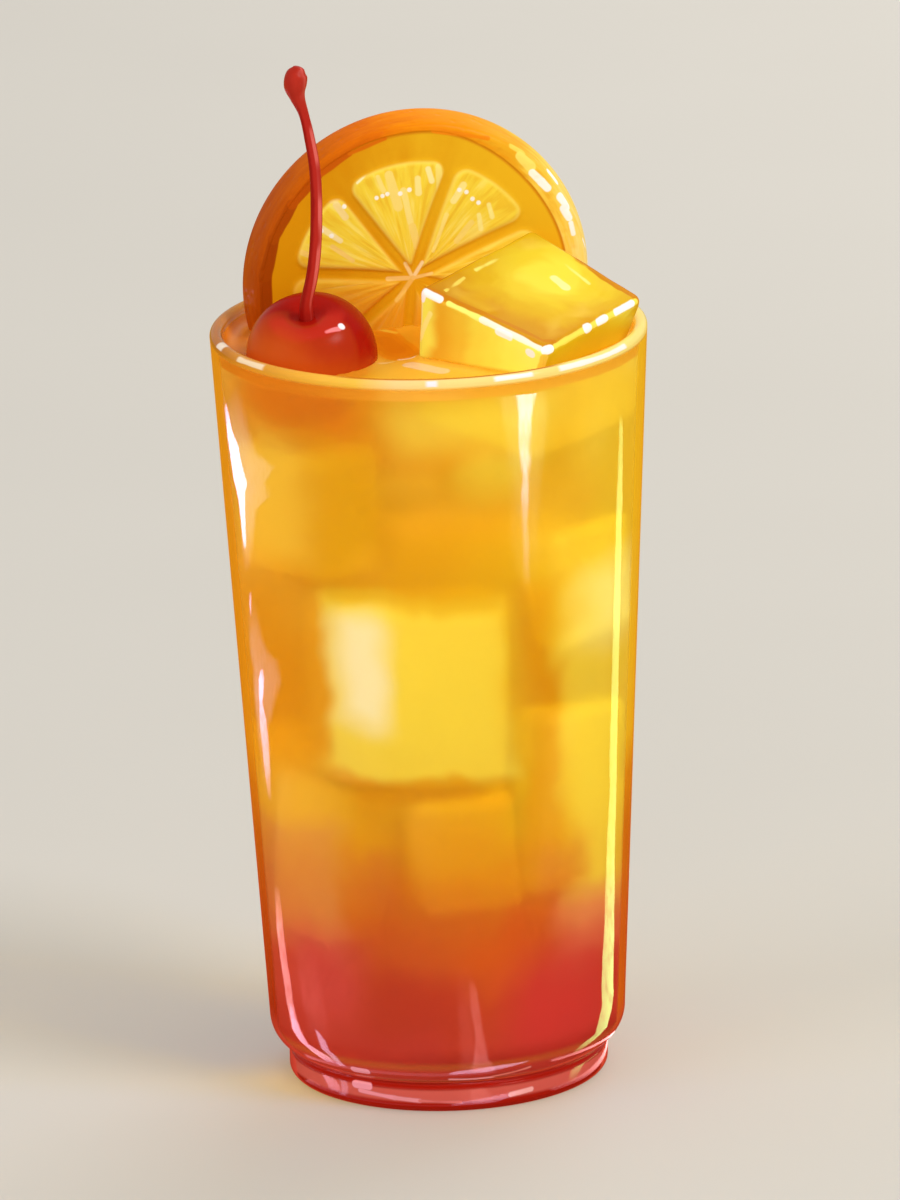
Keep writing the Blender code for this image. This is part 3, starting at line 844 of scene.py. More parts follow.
def cutRoomForIce(piece):
    # the drink ends just inside the floating ice, so that one surface parts them
    room = bpy.data.objects["iceBlock"].copy()
    room.data = room.data.copy()
    centre = sum((vert.co for vert in room.data.vertices), Vector()) / len(room.data.vertices)
    for vert in room.data.vertices:
        vert.co = centre + (vert.co - centre) * drink["iceRoom"]
    bpy.context.scene.collection.objects.link(room)
    bpy.context.view_layer.update()
    cut = piece.modifiers.new("room for ice", "BOOLEAN")
    cut.operation = "DIFFERENCE"
    cut.solver = "EXACT"
    cut.object = room
    with bpy.context.temp_override(object=piece, active_object=piece, selected_objects=[piece]):
        bpy.ops.object.modifier_apply(modifier=cut.name)
    bpy.data.objects.remove(room, do_unlink=True)


def buildDrink():
    level, reach = drink["level"], drink["reach"]
    rise, fall = drink["film"]
    profile = hollowFloor(reach)
    profile += [(innerRadius(h) + reach, h) for h in np.linspace(20, level + rise - 0.2, 40)]
    edge = innerRadius(level + rise) + reach
    for share in (*np.linspace(1, 0.9, 18), *np.linspace(0.885, 0.04, 40)):
        radius = edge * share
        profile.append((radius, level + rise * math.exp(-(edge - radius) / fall)))
    mesh = turned("drink", profile + [(0, level)], drink["sides"])
    liftSurface(mesh)
    piece = addPiece("drink", mesh, drinkFinish(), 50)
    cutRoomForIce(piece)
    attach(piece, "root")
    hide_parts("juice", "grenadine")


sunkIce = {
    "taper": 0.92,
    "round": 3.0,
    "colours": ("f0ec70", "faf6a4", "fffdec"),  # from side to side, painted lighter towards its left
    "places": (  # centre, turn in degrees, half of its width and depth, and height, in mm
        ((-3.9, -10.5, 78.5), (2, 1, 3), (15.0, 12.0), 35),
        ((-19.3, -5.8, 112), (4, 3, -42), (9.5, 9.0), 25),
        ((22.2, -7.2, 96), (-5, -4, 42), (9.0, 6.0), 23),
        ((19.0, -6.8, 55), (3, 4, 44), (9.0, 7.0), 36),
        ((-17.2, -8.4, 45), (-4, 5, -49), (9.0, 7.0), 31),
        ((3.0, -12.0, 47), (4, -5, 8), (8.5, 7.0), 24),
        ((2.0, 15.0, 90), (4, 6, 12), (13.0, 10.0), 30),
        ((-12.0, 12.5, 52), (-6, -5, 35), (10.0, 9.0), 28),
        ((12.0, 11.5, 41), (5, 8, 70), (9.5, 9.0), 24),
    ),
}


def sunkIceFinish():
    finish = Finish("sunk ice")
    x, y, z = finish.split(finish.point)
    side = x + 14 * (finish.cloud(60, distortion=0.8) - 0.5)
    dull, pale, bright = map(paint, sunkIce["colours"])
    # painted light: lighter towards its left side
    colour = finish.mix(dull, pale, finish.step(side, 12, -8))
    colour = finish.mix(colour, bright, finish.step(side, -3, -8))
    return finish.close(finish.surface(Base_Color=colour, Roughness=0.4))


def buildSunkIce():
    material = sunkIceFinish()
    for index, (centre, turn, half, height) in enumerate(sunkIce["places"]):
        mesh = roundedBox("cube", half, height, sunkIce["taper"], sunkIce["round"], 2)
        for vert in mesh.vertices:
            wobble = noise.noise_vector(vert.co * 0.07 + Vector((index * 5, 0, 0)))
            vert.co = (vert.co + Vector((0, 0, height / 2)) + wobble * 0.8) * mm
        faceOutward(mesh)
        piece = addPiece(f"sunkIce{index + 1}", mesh, material, spot=centre, turn=turn)
        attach(piece, "root")
        reportReach(piece)


def reportReach(piece):
    # says how close the piece comes to the inside of the glass, in mm
    matrix = piece.matrix_basis
    spots = [matrix @ vert.co / mm for vert in piece.data.vertices]
    room = min(innerRadius(max(spot.z, 20)) - math.hypot(spot.x, spot.y) for spot in spots)
    print(f"{piece.name} keeps {room:.1f} mm from the glass")


cherry = {
    "radius": 12.0,
    "centre": (-21.3, -11.5, 139.6),
    "turn": (24, -5, 0),
    "sides": 72,
    "squat": 0.95,  # height of its lower half as a share of the radius
    "dimple": 0.25,  # its depth as a share of the radius
    "dimpleWidth": 0.42,  # radians
    "red": ("a4140a", "ae2e10"),  # painted shade round its edge, and lighter red inside that
    "lit": (-0.28, -0.93, 0.22),  # where its painted lighter side looks
    "ridge": "bc281c",  # round the dimple
    "atDrink": "cc5814",  # painted reflection of the drink's orange, where it dips into the drink
    "strokes": (  # painted highlights as brush strokes: both ends, half width, all in mm, and colour
        ((5.8, -4.4, 9.5), (3.6, -5.4, 10.1), 0.55, "f88488"),
        ((0.6, -6.4, 10.1), (-0.4, -6.5, 10.1), 0.3, "f07078"),
        ((6.3, -3.7, 9.5), (6.4, -3.8, 9.4), 0.7, "fff4fc"),
        ((3.0, -1.9, 10.6), (2.7, -2.6, 10.6), 0.4, "ffb0b8"),
    ),
}


def cherryFinish():
    finish = Finish("cherry")
    x, y, z = finish.split(finish.point)
    brush = finish.cloud(110, 3, distortion=0.5) - 0.5
    rise = finish.towards(ownDirection(cherry["turn"], (0, 0, 1)))
    lit = finish.towards(ownDirection(cherry["turn"], cherry["lit"]))
    fromStalk = length(x, y)
    dark, light = map(paint, cherry["red"])
    # painted shade round its edge, lighter on the side that looks towards lit
    colour = finish.mix(dark, light, finish.step(lit + brush * 2, 5.2, 6.6))
    ridge = finish.step(fromStalk + brush * 2, 3.2, 4.2) * finish.step(fromStalk + brush * 2, 7.6, 6.2)
    colour = finish.mix(colour, paint(cherry["ridge"]), ridge * finish.step(y, 2, -2) * 0.8)
    # painted shade in the dimple
    colour = finish.mix(colour, dark, finish.step(fromStalk, 3.6, 2.6))
    # painted reflection of the drink's orange on its lower part
    drinkReflection = finish.step(rise + 5 * brush + x * 0.35, 7.5, -0.5)
    colour = finish.mix(colour, paint(cherry["atDrink"]), drinkReflection * 0.8)
    # painted highlights
    colour = finish.strokes(colour, cherry["strokes"], brush * 0.6)
    return finish.close(finish.surface(Base_Color=colour, Roughness=0.25, Specular_IOR_Level=0.06))


def buildCherry():
    profile = []
    for angle in np.linspace(math.pi, 0, 49):  # from its bottom to its top
        dip = cherry["dimple"] * math.exp(-((angle / cherry["dimpleWidth"]) ** 2))
        radius = cherry["radius"] * (1 - dip)
        squat = cherry["squat"] if angle > math.pi / 2 else 1
        profile.append((radius * math.sin(angle), radius * math.cos(angle) * squat))
    mesh = turned("cherryFruit", profile, cherry["sides"])
    piece = addPiece("cherryFruit", mesh, cherryFinish(), spot=cherry["centre"], turn=cherry["turn"])
    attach(piece, "root")
    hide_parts("cherry")


stalk = {
    "sides": 24,
    "foot": (0.2, 1.35),  # its height over the bottom of the dimple and its radius there, mm
    "route": (  # x, y, z in mm and the radius there
        (-21.9, -16.7, 151.3, 1.15),
        (-20.8, -17.3, 156.1, 1.12),
        (-20.0, -17.0, 161.6, 1.10),
        (-19.6, -16.0, 168.8, 1.08),
        (-19.7, -14.9, 175.4, 1.04),
        (-20.5, -14.0, 181.2, 0.96),
        (-21.4, -13.4, 185.5, 0.92),
        (-22.4, -13.2, 188.5, 1.35),
        (-22.8, -13.1, 190.7, 2.05),
        (-22.5, -13.0, 192.7, 2.00),
        (-22.1, -13.0, 193.9, 1.15),
    ),
    "light": (0.62, -0.77, 0.1),  # direction of its painted light side
    "colours": ("94100a", "b0241a", "e46c64", "b43020"),  # painted shade, painted lighter side, painted highlight streak, and the knob
}


def smoothRoute(points, steps):
    # a smooth line through the points, whose last column is the radius
    points = np.array(points, float)
    padded = np.vstack([2 * points[0] - points[1], points, 2 * points[-1] - points[-2]])
    line = []
    for k in range(1, len(padded) - 2):
        a, b, c, d = padded[k - 1 : k + 3]
        for t in np.arange(steps) / steps:
            curve = 2 * b + (c - a) * t + (2 * a - 5 * b + 4 * c - d) * t**2
            line.append((curve + (3 * b - a - 3 * c + d) * t**3) / 2)
    return np.array(line + [points[-1]])


def sweepRings(line, sides):
    # rings square to the line, turned as little as possible from one to the next
    heading = np.gradient(line[:, :3], axis=0)
    heading /= np.linalg.norm(heading, axis=1)[:, None]
    side = np.cross(heading[0], (0, 1, 0))
    rings = []
    angles = np.arange(sides) * math.tau / sides
    for place, ahead in zip(line, heading):
        side = side - ahead * (side @ ahead)
        side /= np.linalg.norm(side)
        other = np.cross(ahead, side)
        ring = np.outer(np.cos(angles), side) + np.outer(np.sin(angles), other)
        rings.append(place[:3] + ring * place[3])
    return np.array(rings)


def stalkFinish():
    finish = Finish("stalk")
    x, y, z = finish.split(finish.point)
    shade, light, streak, knob = map(paint, stalk["colours"])
    facing = finish.stored("facing")
    blotch = finish.cloud(160, 3, 0.6) - 0.5
    # painted light and shade: lighter on the side that looks to the light
    colour = finish.mix(shade, light, finish.step(facing + blotch, 0.2, 0.7))
    colour = finish.mix(colour, knob, finish.step(z, 184, 189) * 0.6)
    # a painted highlight streak along the lit side
    broken = finish.step(finish.cloud(110, 1), 0.4, 0.55)
    colour = finish.mix(colour, streak, finish.step(facing, 0.86, 0.96) * broken * 0.8)
    normal = finish.bump(finish.cloud(900), 0.12 * mm, 0.5)
    body = finish.surface(Base_Color=colour, Roughness=0.35, Specular_IOR_Level=0.1, Normal=normal)
    return finish.close(body)


def buildStalk():
    over, radius = stalk["foot"]
    foot = Vector((0, 0, cherry["radius"] * (1 - cherry["dimple"]) + over))
    foot.rotate(turnOf(cherry["turn"]))
    line = smoothRoute([(*(Vector(cherry["centre"]) + foot), radius), *stalk["route"]], 10)
    end, ahead = line[-1], line[-1][:3] - line[-4][:3]
    ahead /= np.linalg.norm(ahead)
    for angle in np.radians((25, 45, 62, 76)):  # round the knob off
        cap = end[:3] + ahead * end[3] * 0.35 * math.sin(angle)
        line = np.vstack([line, [*cap, end[3] * math.cos(angle)]])
    rings = sweepRings(line, stalk["sides"])
    # how far each corner looks to the painted light side, for the finish to read
    facings = ((rings - line[:, None, :3]) @ np.array(stalk["light"]) / line[:, 3:]).ravel()
    rings = rings * mm
    mesh = skinRings("cherryStalk", rings, rings[0].mean(0), rings[-1].mean(0))
    store(mesh, "facing", [*facings, 0, 0])
    piece = addPiece("cherryStalk", mesh, stalkFinish(), 60)
    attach(piece, "root")
    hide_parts("cherry_stem")


wheel = {
    "orange": 32.6,  # radius of the whole fruit
    "rind": 6.6,  # its thickness, peel and pith
    "thick": 6.5,
    "sides": 256,
    "backOffset": 4.5,  # of the back face from the fruit's middle
    "hubShift": (-1.5, 1.7),  # from the face's middle to where its segments meet
    "front": (-1.1, 10.2, 146.5),  # centre of the front face
    "turn": (92, 0, 10),
    "membranes": (26.5, 72.5, 126, 171, 217, 262, 305, 344),  # bearings in degrees
    "membraneHalf": 0.75,  # half of their width
    "relief": 0.5,  # how proud the pulp stands
    "slope": 1.1,  # the width of its slope
    "corner": 3.0,  # the rounding of its outer corners
    "heart": 2.4,  # where it starts, from where the segments meet
    "pulpColours": ((0.3, "f2c832"), (0.5, "f8da40"), (0.72, "fce668")),
    "pulpRim": "f6d858",
    "starStrokes": (  # on the face, from where the segments meet: far end, half width and colour
        ((0.3, 4.6), 0.35, "fbe0a4"),
        ((-2.9, 4.6), 0.3, "f9d890"),
        ((-6.2, 1.9), 0.35, "f6cc74"),
        ((-4.6, -2.4), 0.4, "f4c45c"),
        ((2.0, 2.3), 0.3, "f6cc74"),
    ),
    "glints": (  # painted highlights, drops of light on the pulp: x and y in mm
        (-8.0, 17.6), (-6.9, 17.9), (-6.0, 18.2), (-3.6, 18.1), (-1.9, 18.7), (7.4, 18.0), (8.7, 17.5),
        (9.8, 16.1), (10.9, 15.3), (-14.0, 16.4), (-12.7, 17.4), (-16.5, 11.0), (-18.4, 12.1),
    ),
    "glintHalf": 0.42,
    "pulpHeight": 3.7,  # of what is painted on the pulp, in front of the slice's middle
    "faceHeight": 3.3,  # and on the face between the segments
    "pulpStrokes": (  # on the pulp
        ((-11.5, 20.7), (-9.0, 23.0), 0.4, "fdf2b4"),
        ((-9.0, 23.0), (-5.7, 23.7), 0.4, "fdf2b4"),
        ((-7.7, 21.6), (-6.7, 18.9), 0.6, "fce680"),
        ((-5.7, 21.8), (-4.0, 15.6), 0.9, "fbe278"),
        ((-3.0, 18.6), (-1.8, 12.4), 0.6, "fce884"),
        ((-1.5, 11.6), (-0.6, 7.7), 0.8, "fbe074"),
        ((-0.3, 20.7), (-0.2, 18.0), 0.5, "fdec90"),
        ((1.7, 22.4), (2.3, 20.1), 0.5, "fdf0a0"),
        ((3.6, 22.7), (3.9, 18.1), 0.6, "fbe678"),
        ((6.3, 16.0), (8.2, 18.9), 0.7, "fdec90"),
        ((2.3, 6.7), (4.9, 13.4), 0.5, "fce67c"),
        ((6.7, 8.3), (9.5, 11.6), 0.6, "fbe274"),
        ((10.9, 13.0), (11.2, 10.3), 0.4, "fdf08c"),
        ((12.8, 14.8), (13.4, 12.4), 0.4, "fdf08c"),
        ((12.2, 6.8), (17.9, 10.2), 0.8, "f9e25c"),
        ((-16.4, 18.1), (-13.9, 19.0), 0.9, "fbdc84"),
        ((-15.5, 16.8), (-13.9, 14.4), 0.6, "fae090"),
        ((-12.9, 17.4), (-10.7, 14.2), 0.5, "f9dc7c"),
        ((-18.2, 12.5), (-14.9, 9.9), 0.5, "fae8a0"),
        ((-22.5, 10.5), (-20.7, 14.6), 0.6, "fbe4a0"),
        ((-16.4, 8.9), (-12.7, 6.0), 0.5, "f8d470"),
        ((-22.0, 8.2), (-19.0, 6.8), 0.5, "f8d068"),
    ),
    "peelStrokes": (  # painted shade at the left and painted highlights at the right, round the peel, so each end has its height too
        ((-28.9, -4.1, 3.0), (-28.9, 4.1, 3.0), 1.2, "a04004"),
        ((-28.9, 4.1, 3.0), (-27.1, 10.9, 3.0), 1.2, "a44404"),
        ((-27.1, 10.9, 3.0), (-23.6, 17.2, 3.0), 1.1, "ac4a04"),
        ((-23.6, 17.2, 3.0), (-18.8, 22.4, 3.0), 0.9, "bc5204"),
        ((-18.8, 22.4, 3.0), (-12.8, 26.2, 3.0), 0.7, "cc5e06"),
        ((-12.8, 26.2, 3.0), (-6.1, 28.6, 3.0), 0.5, "da6e08"),
        ((-10.0, 28.3, 2.4), (2.0, 30.2, 2.4), 0.5, "e87408"),
        ((3.0, 29.6, 3.0), (13.0, 27.2, 3.0), 0.6, "f08a10"),
        ((17.5, 25.4, 2.9), (19.4, 24.0, 2.7), 0.7, "fcd454"),
        ((18.8, 23.5, 3.2), (20.8, 21.3, 3.2), 0.9, "fce068"),
        ((21.1, 20.1, 3.2), (22.8, 18.3, 3.2), 0.6, "fffce8"),
        ((24.6, 19.4, 1.2), (25.8, 17.6, 1.4), 0.7, "fffdf4"),
        ((22.8, 18.3, 3.2), (23.9, 17.0, 3.2), 0.6, "fffdf4"),
        ((26.4, 15.1, 3.2), (27.6, 13.3, 3.2), 0.8, "fffdf4"),
        ((26.8, 12.9, 3.2), (27.8, 11.0, 3.2), 0.7, "fffdf4"),
        ((28.1, 10.0, 3.2), (28.5, 7.9, 3.2), 0.5, "fffdf4"),
        ((30.6, 6.1, 1.6), (31.2, 4.6, 0.6), 0.4, "fffdf4"),
    ),
    "pulpLow": "ea9a1c",  # painted shade, deeper orange, down by the drink at the lower left
    "glint": "fffdf0",
    "pith": ("ecb61c", "dc9408"),  # light and dark: rays, and painted shade darker towards the left
    "peelCut": "cc7408",
    "peel": (  # painted light and shade from its left to its right, dark at the left and pale at the right, as shares of its width
        (0.0, "ac4604"),
        (0.2, "c65e04"),
        (0.36, "dc6c06"),
        (0.5, "ee8a08"),
        (0.64, "ee980e"),
        (0.78, "eeae22"),
        (0.88, "fad04a"),
        (1.0, "fee48c"),
    ),
    "peelReach": (1.1, 2.0),  # how far its cut edge shows at the left, and how much more at the right
}


def wheelPlace():
    # which way the front face looks, and the middle of the slice in mm
    front = Vector((0, 0, 1))
    front.rotate(turnOf(wheel["turn"]))
    return front, Vector(wheel["front"]) - front * wheel["thick"] / 2


def faceRadius(ball, offset):
    # of the cut through a ball, by how far off its middle the cut lies
    return math.sqrt(ball**2 - offset**2)


def pulpRise(radius, angle, pulpRadius):
    # how proud the pulp stands, in mm, on arrays of radius and angle
    starts = np.radians(wheel["membranes"])
    ends = np.append(starts[1:], starts[0] + math.tau)
    turn = (angle - starts[0]) % math.tau + starts[0]
    index = np.searchsorted(starts, turn, side="right") - 1
    offset = turn - starts[index]
    width = (ends - starts)[index]
    sideA = radius * np.sin(np.minimum(offset, math.pi / 2)) - wheel["membraneHalf"]
    sideB = radius * np.sin(np.minimum(width - offset, math.pi / 2)) - wheel["membraneHalf"]
    depth = np.minimum(sideA, sideB)
    outer = pulpRadius - radius
    corner = wheel["corner"]
    bent = corner - np.hypot(corner - depth, corner - outer)
    depth = np.where((depth < corner) & (outer < corner), bent, depth)
    depth = np.minimum(np.minimum(depth, outer), radius - wheel["heart"])
    share = np.clip(depth / wheel["slope"], 0, 1)
    return wheel["relief"] * share * (2 - share), depth


def pulpColour(finish, depth, angle, radius, sac, wander):
    # juice sacs that run out from the middle, with brush strokes, painted shade low down and painted
    # highlights as drops of light on them
    x, y, z = finish.split(finish.point)
    threads = finish.cloud(1.0, spot=finish.together(angle * 15, radius / 9, 0))
    light = threads + (sac - 0.4) * 0.2 - finish.step(radius, 12, 22) * 0.06
    colour = finish.shade(light, wheel["pulpColours"], "EASE")
    colour = finish.mix(paint(wheel["pulpRim"]), colour, finish.step(depth, 0.3, 1.3))
    # painted shade, deeper orange towards the lower left
    low = finish.step(y + x * 0.3 + 8 * wander, 5, -7)
    colour = finish.mix(colour, paint(wheel["pulpLow"]), low * 0.8)
    colour = finish.strokes(colour, atHeight(wheel["pulpHeight"], wheel["pulpStrokes"]), wander * 0.7)
    # painted highlights: drops of light
    drops = [(spot, spot, wheel["glintHalf"], wheel["glint"]) for spot in wheel["glints"]]
    return finish.strokes(colour, atHeight(wheel["pulpHeight"], drops), wander * 0.2)


def wheelFinish():
    finish = Finish("orange slice")
    x, y, z = finish.split(finish.point)
    fromMiddle = length(x, y)
    ball = length(fromMiddle, z + (wheel["backOffset"] + wheel["thick"] / 2))
    face = faceRadius(wheel["orange"], wheel["backOffset"] + wheel["thick"])
    inward = 1 - fromMiddle * fromMiddle / face**2
    hubX, hubY = (axis - inward * shift for axis, shift in zip((x, y), wheel["hubShift"]))
    radius = length(hubX, hubY)
    angle = finish.maths("ARCTAN2", hubY, hubX)
    depth = finish.stored("pulp")
    pulp = finish.step(depth, 0.0, 0.7)
    least, more = wheel["peelReach"]
    inPeel = ball - wheel["orange"] + (least + finish.step(x, 2, 24) * more)
    skin = finish.step(inPeel, -0.15, 0.2)

    wander = (finish.cloud(120) - 0.5) * 1.2
    mottle = finish.cloud(260, 3, 0.6)
    sacs = finish.together(angle * 9 + wander * 0.5, radius / 8 + wander * 0.3, z * 0.15)
    sac = finish.cells(1.0, sacs, 0.9)
    rays = finish.cloud(1.0, spot=finish.together(angle * 5, radius / 30, 0))
    lightPith, darkPith = map(paint, wheel["pith"])
    # the pith, with rays and painted shade darker towards the left
    pith = finish.mix(lightPith, darkPith, finish.step(rays * 0.5 - x / 60 + mottle * 0.2, 0.1, 0.7))
    pith = finish.mix(pith, paint(wheel["peelCut"]), finish.step(inPeel, -0.7, -0.1) * 0.8)
    colour = finish.mix(pith, pulpColour(finish, depth, angle, radius, sac, wander), pulp)
    star = [(wheel["hubShift"], end, half, code) for end, half, code in wheel["starStrokes"]]
    colour = finish.strokes(colour, atHeight(wheel["faceHeight"], star), wander * 0.4)

    # the peel, with painted light and shade: dark at the left, pale at the right, and strokes of painted
    # shade and highlights
    bearing = finish.maths("ARCTAN2", y, x)
    streak = finish.cloud(1.0, 3, 0.6, finish.together(bearing * 4, z * 0.7, ball))
    shadedAcross = x / (2 * wheel["orange"]) + 0.5 + (streak - 0.5) * 0.3
    colour = finish.mix(colour, finish.shade(shadedAcross, wheel["peel"]), skin)
    colour = finish.strokes(colour, wheel["peelStrokes"], wander * 0.8)
    pores = finish.step(finish.cells(500), 0.0, 0.45)
    height = (0.35 - sac) * pulp * 0.35 + pores * skin * 0.25 + mottle * 0.15
    body = finish.surface(
        Base_Color=colour,
        Roughness=0.42 - pulp * 0.15 - skin * 0.1,
        Specular_IOR_Level=0.06,
        Coat_Weight=pulp * 0.1,
        Coat_Roughness=0.15,
        Normal=finish.bump(height, 0.5 * mm, 0.8),
    )
    return finish.close(body)


def wheelFace(angles, offset, sign):
    # rings of one face from its middle outwards: x, y, z and the depth inside a segment, mm
    pulp = faceRadius(wheel["orange"] - wheel["rind"], offset)
    face = faceRadius(wheel["orange"], offset) - 0.6
    hubX, hubY = wheel["hubShift"]
    rings = []
    for radius in (*np.linspace(0.8, pulp + 0.5, 44), *np.linspace(pulp + 1, face, 8)):
        rise, depth = pulpRise(radius, angles, pulp)
        lean = 1 - (radius / face) ** 2
        x, y = hubX * lean + radius * np.cos(angles), hubY * lean + radius * np.sin(angles)
        rings.append(np.stack([x, y, sign * (wheel["thick"] / 2 + rise), depth], 1))
    return rings


def wheelPeel(angles):
    # rings of the peel, from the front to the back
    rings = []
    for share in np.linspace(0, 1, 13):
        over = (wheel["thick"] - 0.6) * (0.5 - share)  # over the slice's middle
        radius = faceRadius(wheel["orange"], wheel["backOffset"] + wheel["thick"] / 2 + over)
        radius -= 0.12 * (2 * share - 1) ** 8
        x, y = radius * np.cos(angles), radius * np.sin(angles)
        height, depth = np.full(len(angles), over), np.full(len(angles), -2)
        rings.append(np.stack([x, y, height, depth], 1))
    return rings


def buildWheel():
    angles = np.arange(wheel["sides"]) * math.tau / wheel["sides"]
    front = wheelFace(angles, wheel["backOffset"] + wheel["thick"], 1)
    back = wheelFace(angles, wheel["backOffset"], -1)[::-1]
    rings = np.array(front + wheelPeel(angles) + back)
    ends = [Vector((*wheel["hubShift"], side * wheel["thick"] / 2)) * mm for side in (1, -1)]
    mesh = skinRings("orangeWheel", rings[:, :, :3] * mm, *ends)
    store(mesh, "pulp", [*rings[:, :, 3].ravel(), -1, -1])
    spot = wheelPlace()[1]
    piece = addPiece("orangeWheel", mesh, wheelFinish(), 50, spot, wheel["turn"])
    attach(piece, "root")
    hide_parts("orange_wheel")


studio = {
    "world": (1.0, 0.97, 0.92),
    "worldPower": 0.5,
    "half": 6,  # m, half of the floor's width
    "floor": ("cdcac4", "c8c5bf"),
    "lampAim": (0, 0, 90),  # mm
    "lamps": (  # name, place in mm, width and height in mm, watts, colour
        ("key", (950, -600, 1350), 500, 500, 13, (1.0, 0.98, 0.94)),
        ("back", (500, 1100, 900), 900, 900, 9, (1.0, 0.98, 0.94)),
        ("fill", (-1200, -700, 700), 900, 900, 7, (1.0, 0.98, 0.96)),
        ("front", (-300, -1700, 450), 900, 700, 6, (1.0, 0.98, 0.94)),
    ),
    "table": (  # what the glass mirrors of the table: distance in mm and colour
        (0, "a01c10"),
        (110, "c85018"),
        (220, "d87c12"),
        (420, "e09418"),
        (900, "c09a40"),
    ),
    # colour, brightness, softness of the sides in degrees, and rows that give the distance in mm,
    # the bearings of both sides and the share of the light there
    "cards": (
        ("d8ecff", 1.5, 3.5, (
            (318, 141, 147, 0), (338, 141, 154, 0.5), (353, 143, 160, 0.8), (356, 143, 172, 0.8),
            (366, 143, 169, 1), (372, 143, 178, 0.9), (376, 144, 173, 1), (388, 143, 162, 0.8),
            (412, 135, 155, 0.5), (442, 132, 148, 0),
        )),
        ("f0c8ff", 8, 0.8, (
            (333, 142, 144, 0.2), (340, 141, 145, 0.8), (352, 140, 146, 1), (368, 139, 148, 1),
            (373, 138, 152, 1), (387, 134, 147, 1), (402, 132, 144, 1), (419, 130, 137, 0.8),
            (441, 129, 132, 0.4),
        )),
        ("ece4ff", 1.2, 3.5, (
            (179, 147, 154, 0), (220, 142, 155, 0.6), (235, 142, 164, 0.8), (246, 142, 171, 1),
            (259, 143, 170, 0.8), (264, 141, 162, 0.7), (275, 140, 155, 0.6), (301, 142, 150, 0),
        )),
        ("f0c8ff", 8, 0.8, (
            (178, 151, 154, 0), (200, 147, 155, 0.4), (226, 146, 154, 0.5), (236, 147, 151, 0.7),
            (240, 147, 152, 0.9), (250, 148, 155, 1), (257, 152, 154, 0.6),
        )),
        ("f0c4ff", 6, 0.8, (
            (290, 143, 145, 0), (298, 143, 145, 1), (306, 144, 147, 0),
        )),
        ("d8ffd8", 1.8, 4.5, (
            (284, 317, 322, 0), (316, 313, 326, 0.4), (353, 312, 327, 0.7), (373, 310, 330, 0.8),
            (390, 308, 331, 1), (397, 305, 331, 0.8), (408, 304, 331, 0.3),
        )),
        ("f0dcff", 17, 1.4, (
            (290, 318, 321, 0), (334, 317.5, 321, 0.3), (350, 317.5, 321, 0.6), (362, 317, 322, 0.75),
            (372, 316, 322, 0.45), (387, 316.5, 322.5, 0.9), (396, 315, 324, 0.8), (404, 312, 327, 1),
        )),
        ("c0ff98", 6.4, 0.6, (
            (34, 327, 331, 1), (44, 338, 350, 1), (52, 350, 363, 1), (60, 359, 374, 1),
            (67, 365, 380, 1), (97, 373, 387, 1), (120, 377, 389, 0.7), (174, 383, 392, 0.55),
            (293, 386, 394, 0.55), (370, 388, 394, 0.6), (414, 389, 392, 0.4),
        )),
        ("ffb4b4", 4.5, 1, (
            (35, 211, 218, 1), (42, 201, 212, 1), (54, 187, 196, 1), (58, 177, 188, 1),
            (64, 172, 181, 1), (71, 167, 175, 1), (92, 157, 166, 0.9), (110, 153, 161, 0.8),
            (132, 152, 158, 0),
        )),
        ("f0ccff", 4, 1, (
            (35, 211, 218, 1), (42, 201, 212, 1), (54, 188, 195, 1), (58, 178, 187, 1),
            (66, 172, 177, 1), (72, 170, 173, 0),
        )),
        ("f3daff", 6, 1, (
            (34, 219, 223, 1), (37, 217, 221, 1), (52, 206, 211, 1), (60, 199, 205, 1),
            (65, 195, 197, 1),
        )),
        ("ff9c9c", 0.9, 3, (
            (56, 195, 210, 0), (74, 184, 201, 1), (90, 178, 195, 0.6), (106, 175, 193, 0),
        )),
        ("ff9c90", 1.3, 2, (
            (38, 275, 283, 1), (78, 276, 283, 1), (104, 276, 282, 0),
        )),
        ("ffa8a0", 4.5, 1, (
            (35, 279, 290, 1), (59, 282, 288, 1), (68, 283, 288, 0.8), (90, 282, 286, 0.7),
            (97, 282, 283, 0),
        )),
        ("f3daff", 9, 1, (
            (34, 270, 284, 1), (36, 271, 292, 1), (38, 276, 300, 1), (41, 294, 306, 1),
        )),
        ("ffb0c0", 1.6, 1, (
            (32.4, 194, 290, 1), (35.6, 194, 290, 1),
        )),
        ("ffb0b0", 5, 1, (
            (33.5, 317, 400, 1), (36.5, 317, 400, 1),
        )),
    ),
}


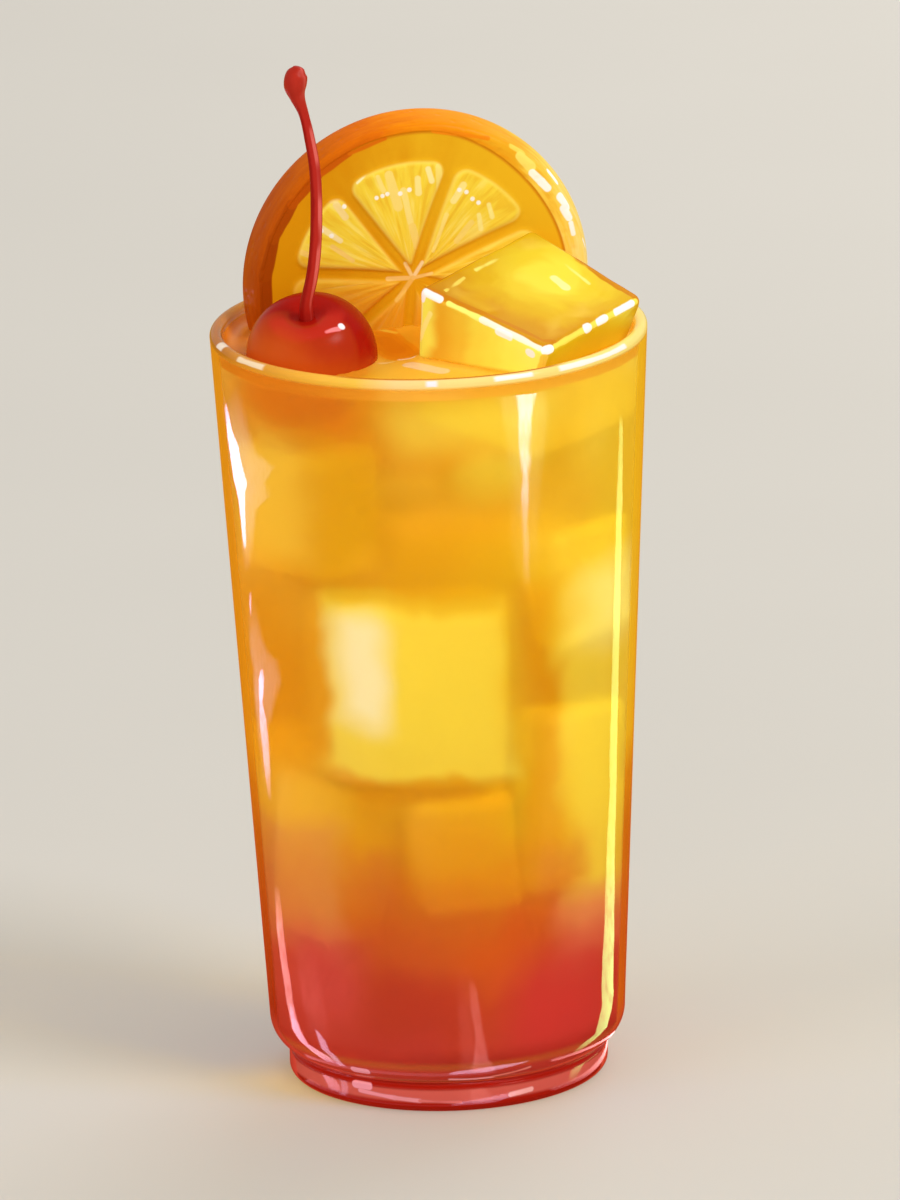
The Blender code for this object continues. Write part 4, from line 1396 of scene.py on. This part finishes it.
def tableMirror():
    # seen only in reflections: a warm table with pale cards on it
    finish = Finish("table in the glass")
    x, y, z = finish.split(finish.point)
    radius = length(x, y)
    bearing = finish.maths("ARCTAN2", y, x) * (180 / math.pi)
    reach = studio["table"][-1][0]
    colour = finish.shade(radius / reach, [(distance / reach, code) for distance, code in studio["table"]])
    brush = (finish.cloud(45) - 0.5) * 3
    dabs = finish.cloud(150) * 1.4 + 0.3
    for code, power, soft, rows in studio["cards"]:
        near, depth = rows[0][0], rows[-1][0] - rows[0][0]
        low = min(row[1] for row in rows)
        span = max(row[2] for row in rows) - low
        along = (radius - near) / depth
        stops = [((d - near) / depth, ((a - low) / span, (b - low) / span, c)) for d, a, b, c in rows]
        left, right, light = finish.split(finish.ramp(along, stops))
        turn = finish.maths("WRAP", bearing - low, 270, -90)
        rough = brush * (0.6 + 0.4 * soft)
        inside = finish.step(turn + rough - left * span, -soft, soft)
        inside = inside * finish.step(right * span - turn + rough, -soft, soft)
        ends = finish.step(along, 0.0, 0.03) * finish.step(along, 1.0, 0.97)
        shine = [power * part for part in paint(code)]
        colour = finish.mix(colour, shine, inside * ends * light * dabs, "ADD")
    body = finish.surface(
        Base_Color=(0, 0, 0),
        Roughness=1.0,
        Specular_IOR_Level=0.0,
        Emission_Color=colour,
        Emission_Strength=1.0,
    )
    material = finish.close(body)
    material.cycles.emission_sampling = "NONE"
    return material


def floorFinish():
    finish = Finish("floor")
    light, dark = map(paint, studio["floor"])
    colour = finish.mix(light, dark, finish.cloud(6))
    return finish.close(finish.surface(Base_Color=colour, Roughness=0.8, Specular_IOR_Level=0.2))


def addStage(name, height, material):
    half = studio["half"]
    corners = [(x * half, y * half, height) for x, y in ((-1, -1), (1, -1), (1, 1), (-1, 1))]
    mesh = bpy.data.meshes.new(name)
    mesh.from_pydata(corners, [], [(0, 1, 2, 3)])
    mesh.materials.append(material)
    plate = bpy.data.objects.new(name, mesh)
    bpy.context.scene.collection.objects.link(plate)
    return plate


def addLamp(name, place, width, height, watts, colour):
    lamp = bpy.data.lights.new(name, "AREA")
    lamp.shape = "RECTANGLE"
    lamp.size, lamp.size_y = width * mm, height * mm
    lamp.energy = watts
    lamp.color = colour
    holder = bpy.data.objects.new(name, lamp)
    holder.location = Vector(place) * mm
    holder.rotation_euler = (Vector(studio["lampAim"]) - Vector(place)).to_track_quat("-Z", "Y").to_euler()
    holder.visible_camera = False
    holder.visible_glossy = name == "key"
    bpy.context.scene.collection.objects.link(holder)


def addStudio():
    scene = bpy.context.scene
    scene.view_settings.view_transform = "Standard"
    scene.world = bpy.data.worlds.new("studio")
    scene.world.use_nodes = True
    sky = scene.world.node_tree.nodes["Background"]
    sky.inputs["Color"].default_value = (*studio["world"], 1)
    sky.inputs["Strength"].default_value = studio["worldPower"]
    for lamp in studio["lamps"]:
        addLamp(*lamp)
    floor = addStage("floor", 0, floorFinish())
    floor.visible_glossy = False
    mirror = addStage("tableMirror", -mm, tableMirror())
    for sight in ("camera", "diffuse", "transmission", "volume_scatter", "shadow"):
        setattr(mirror, f"visible_{sight}", False)


addCamera()
print("camera set")
buildTumbler()
print("glass built")
buildIceBlock()
buildDrink()
buildSunkIce()
print("drink and ice built")
buildCherry()
buildStalk()
buildWheel()
print("fruit built")
addStudio()
print("studio lit")
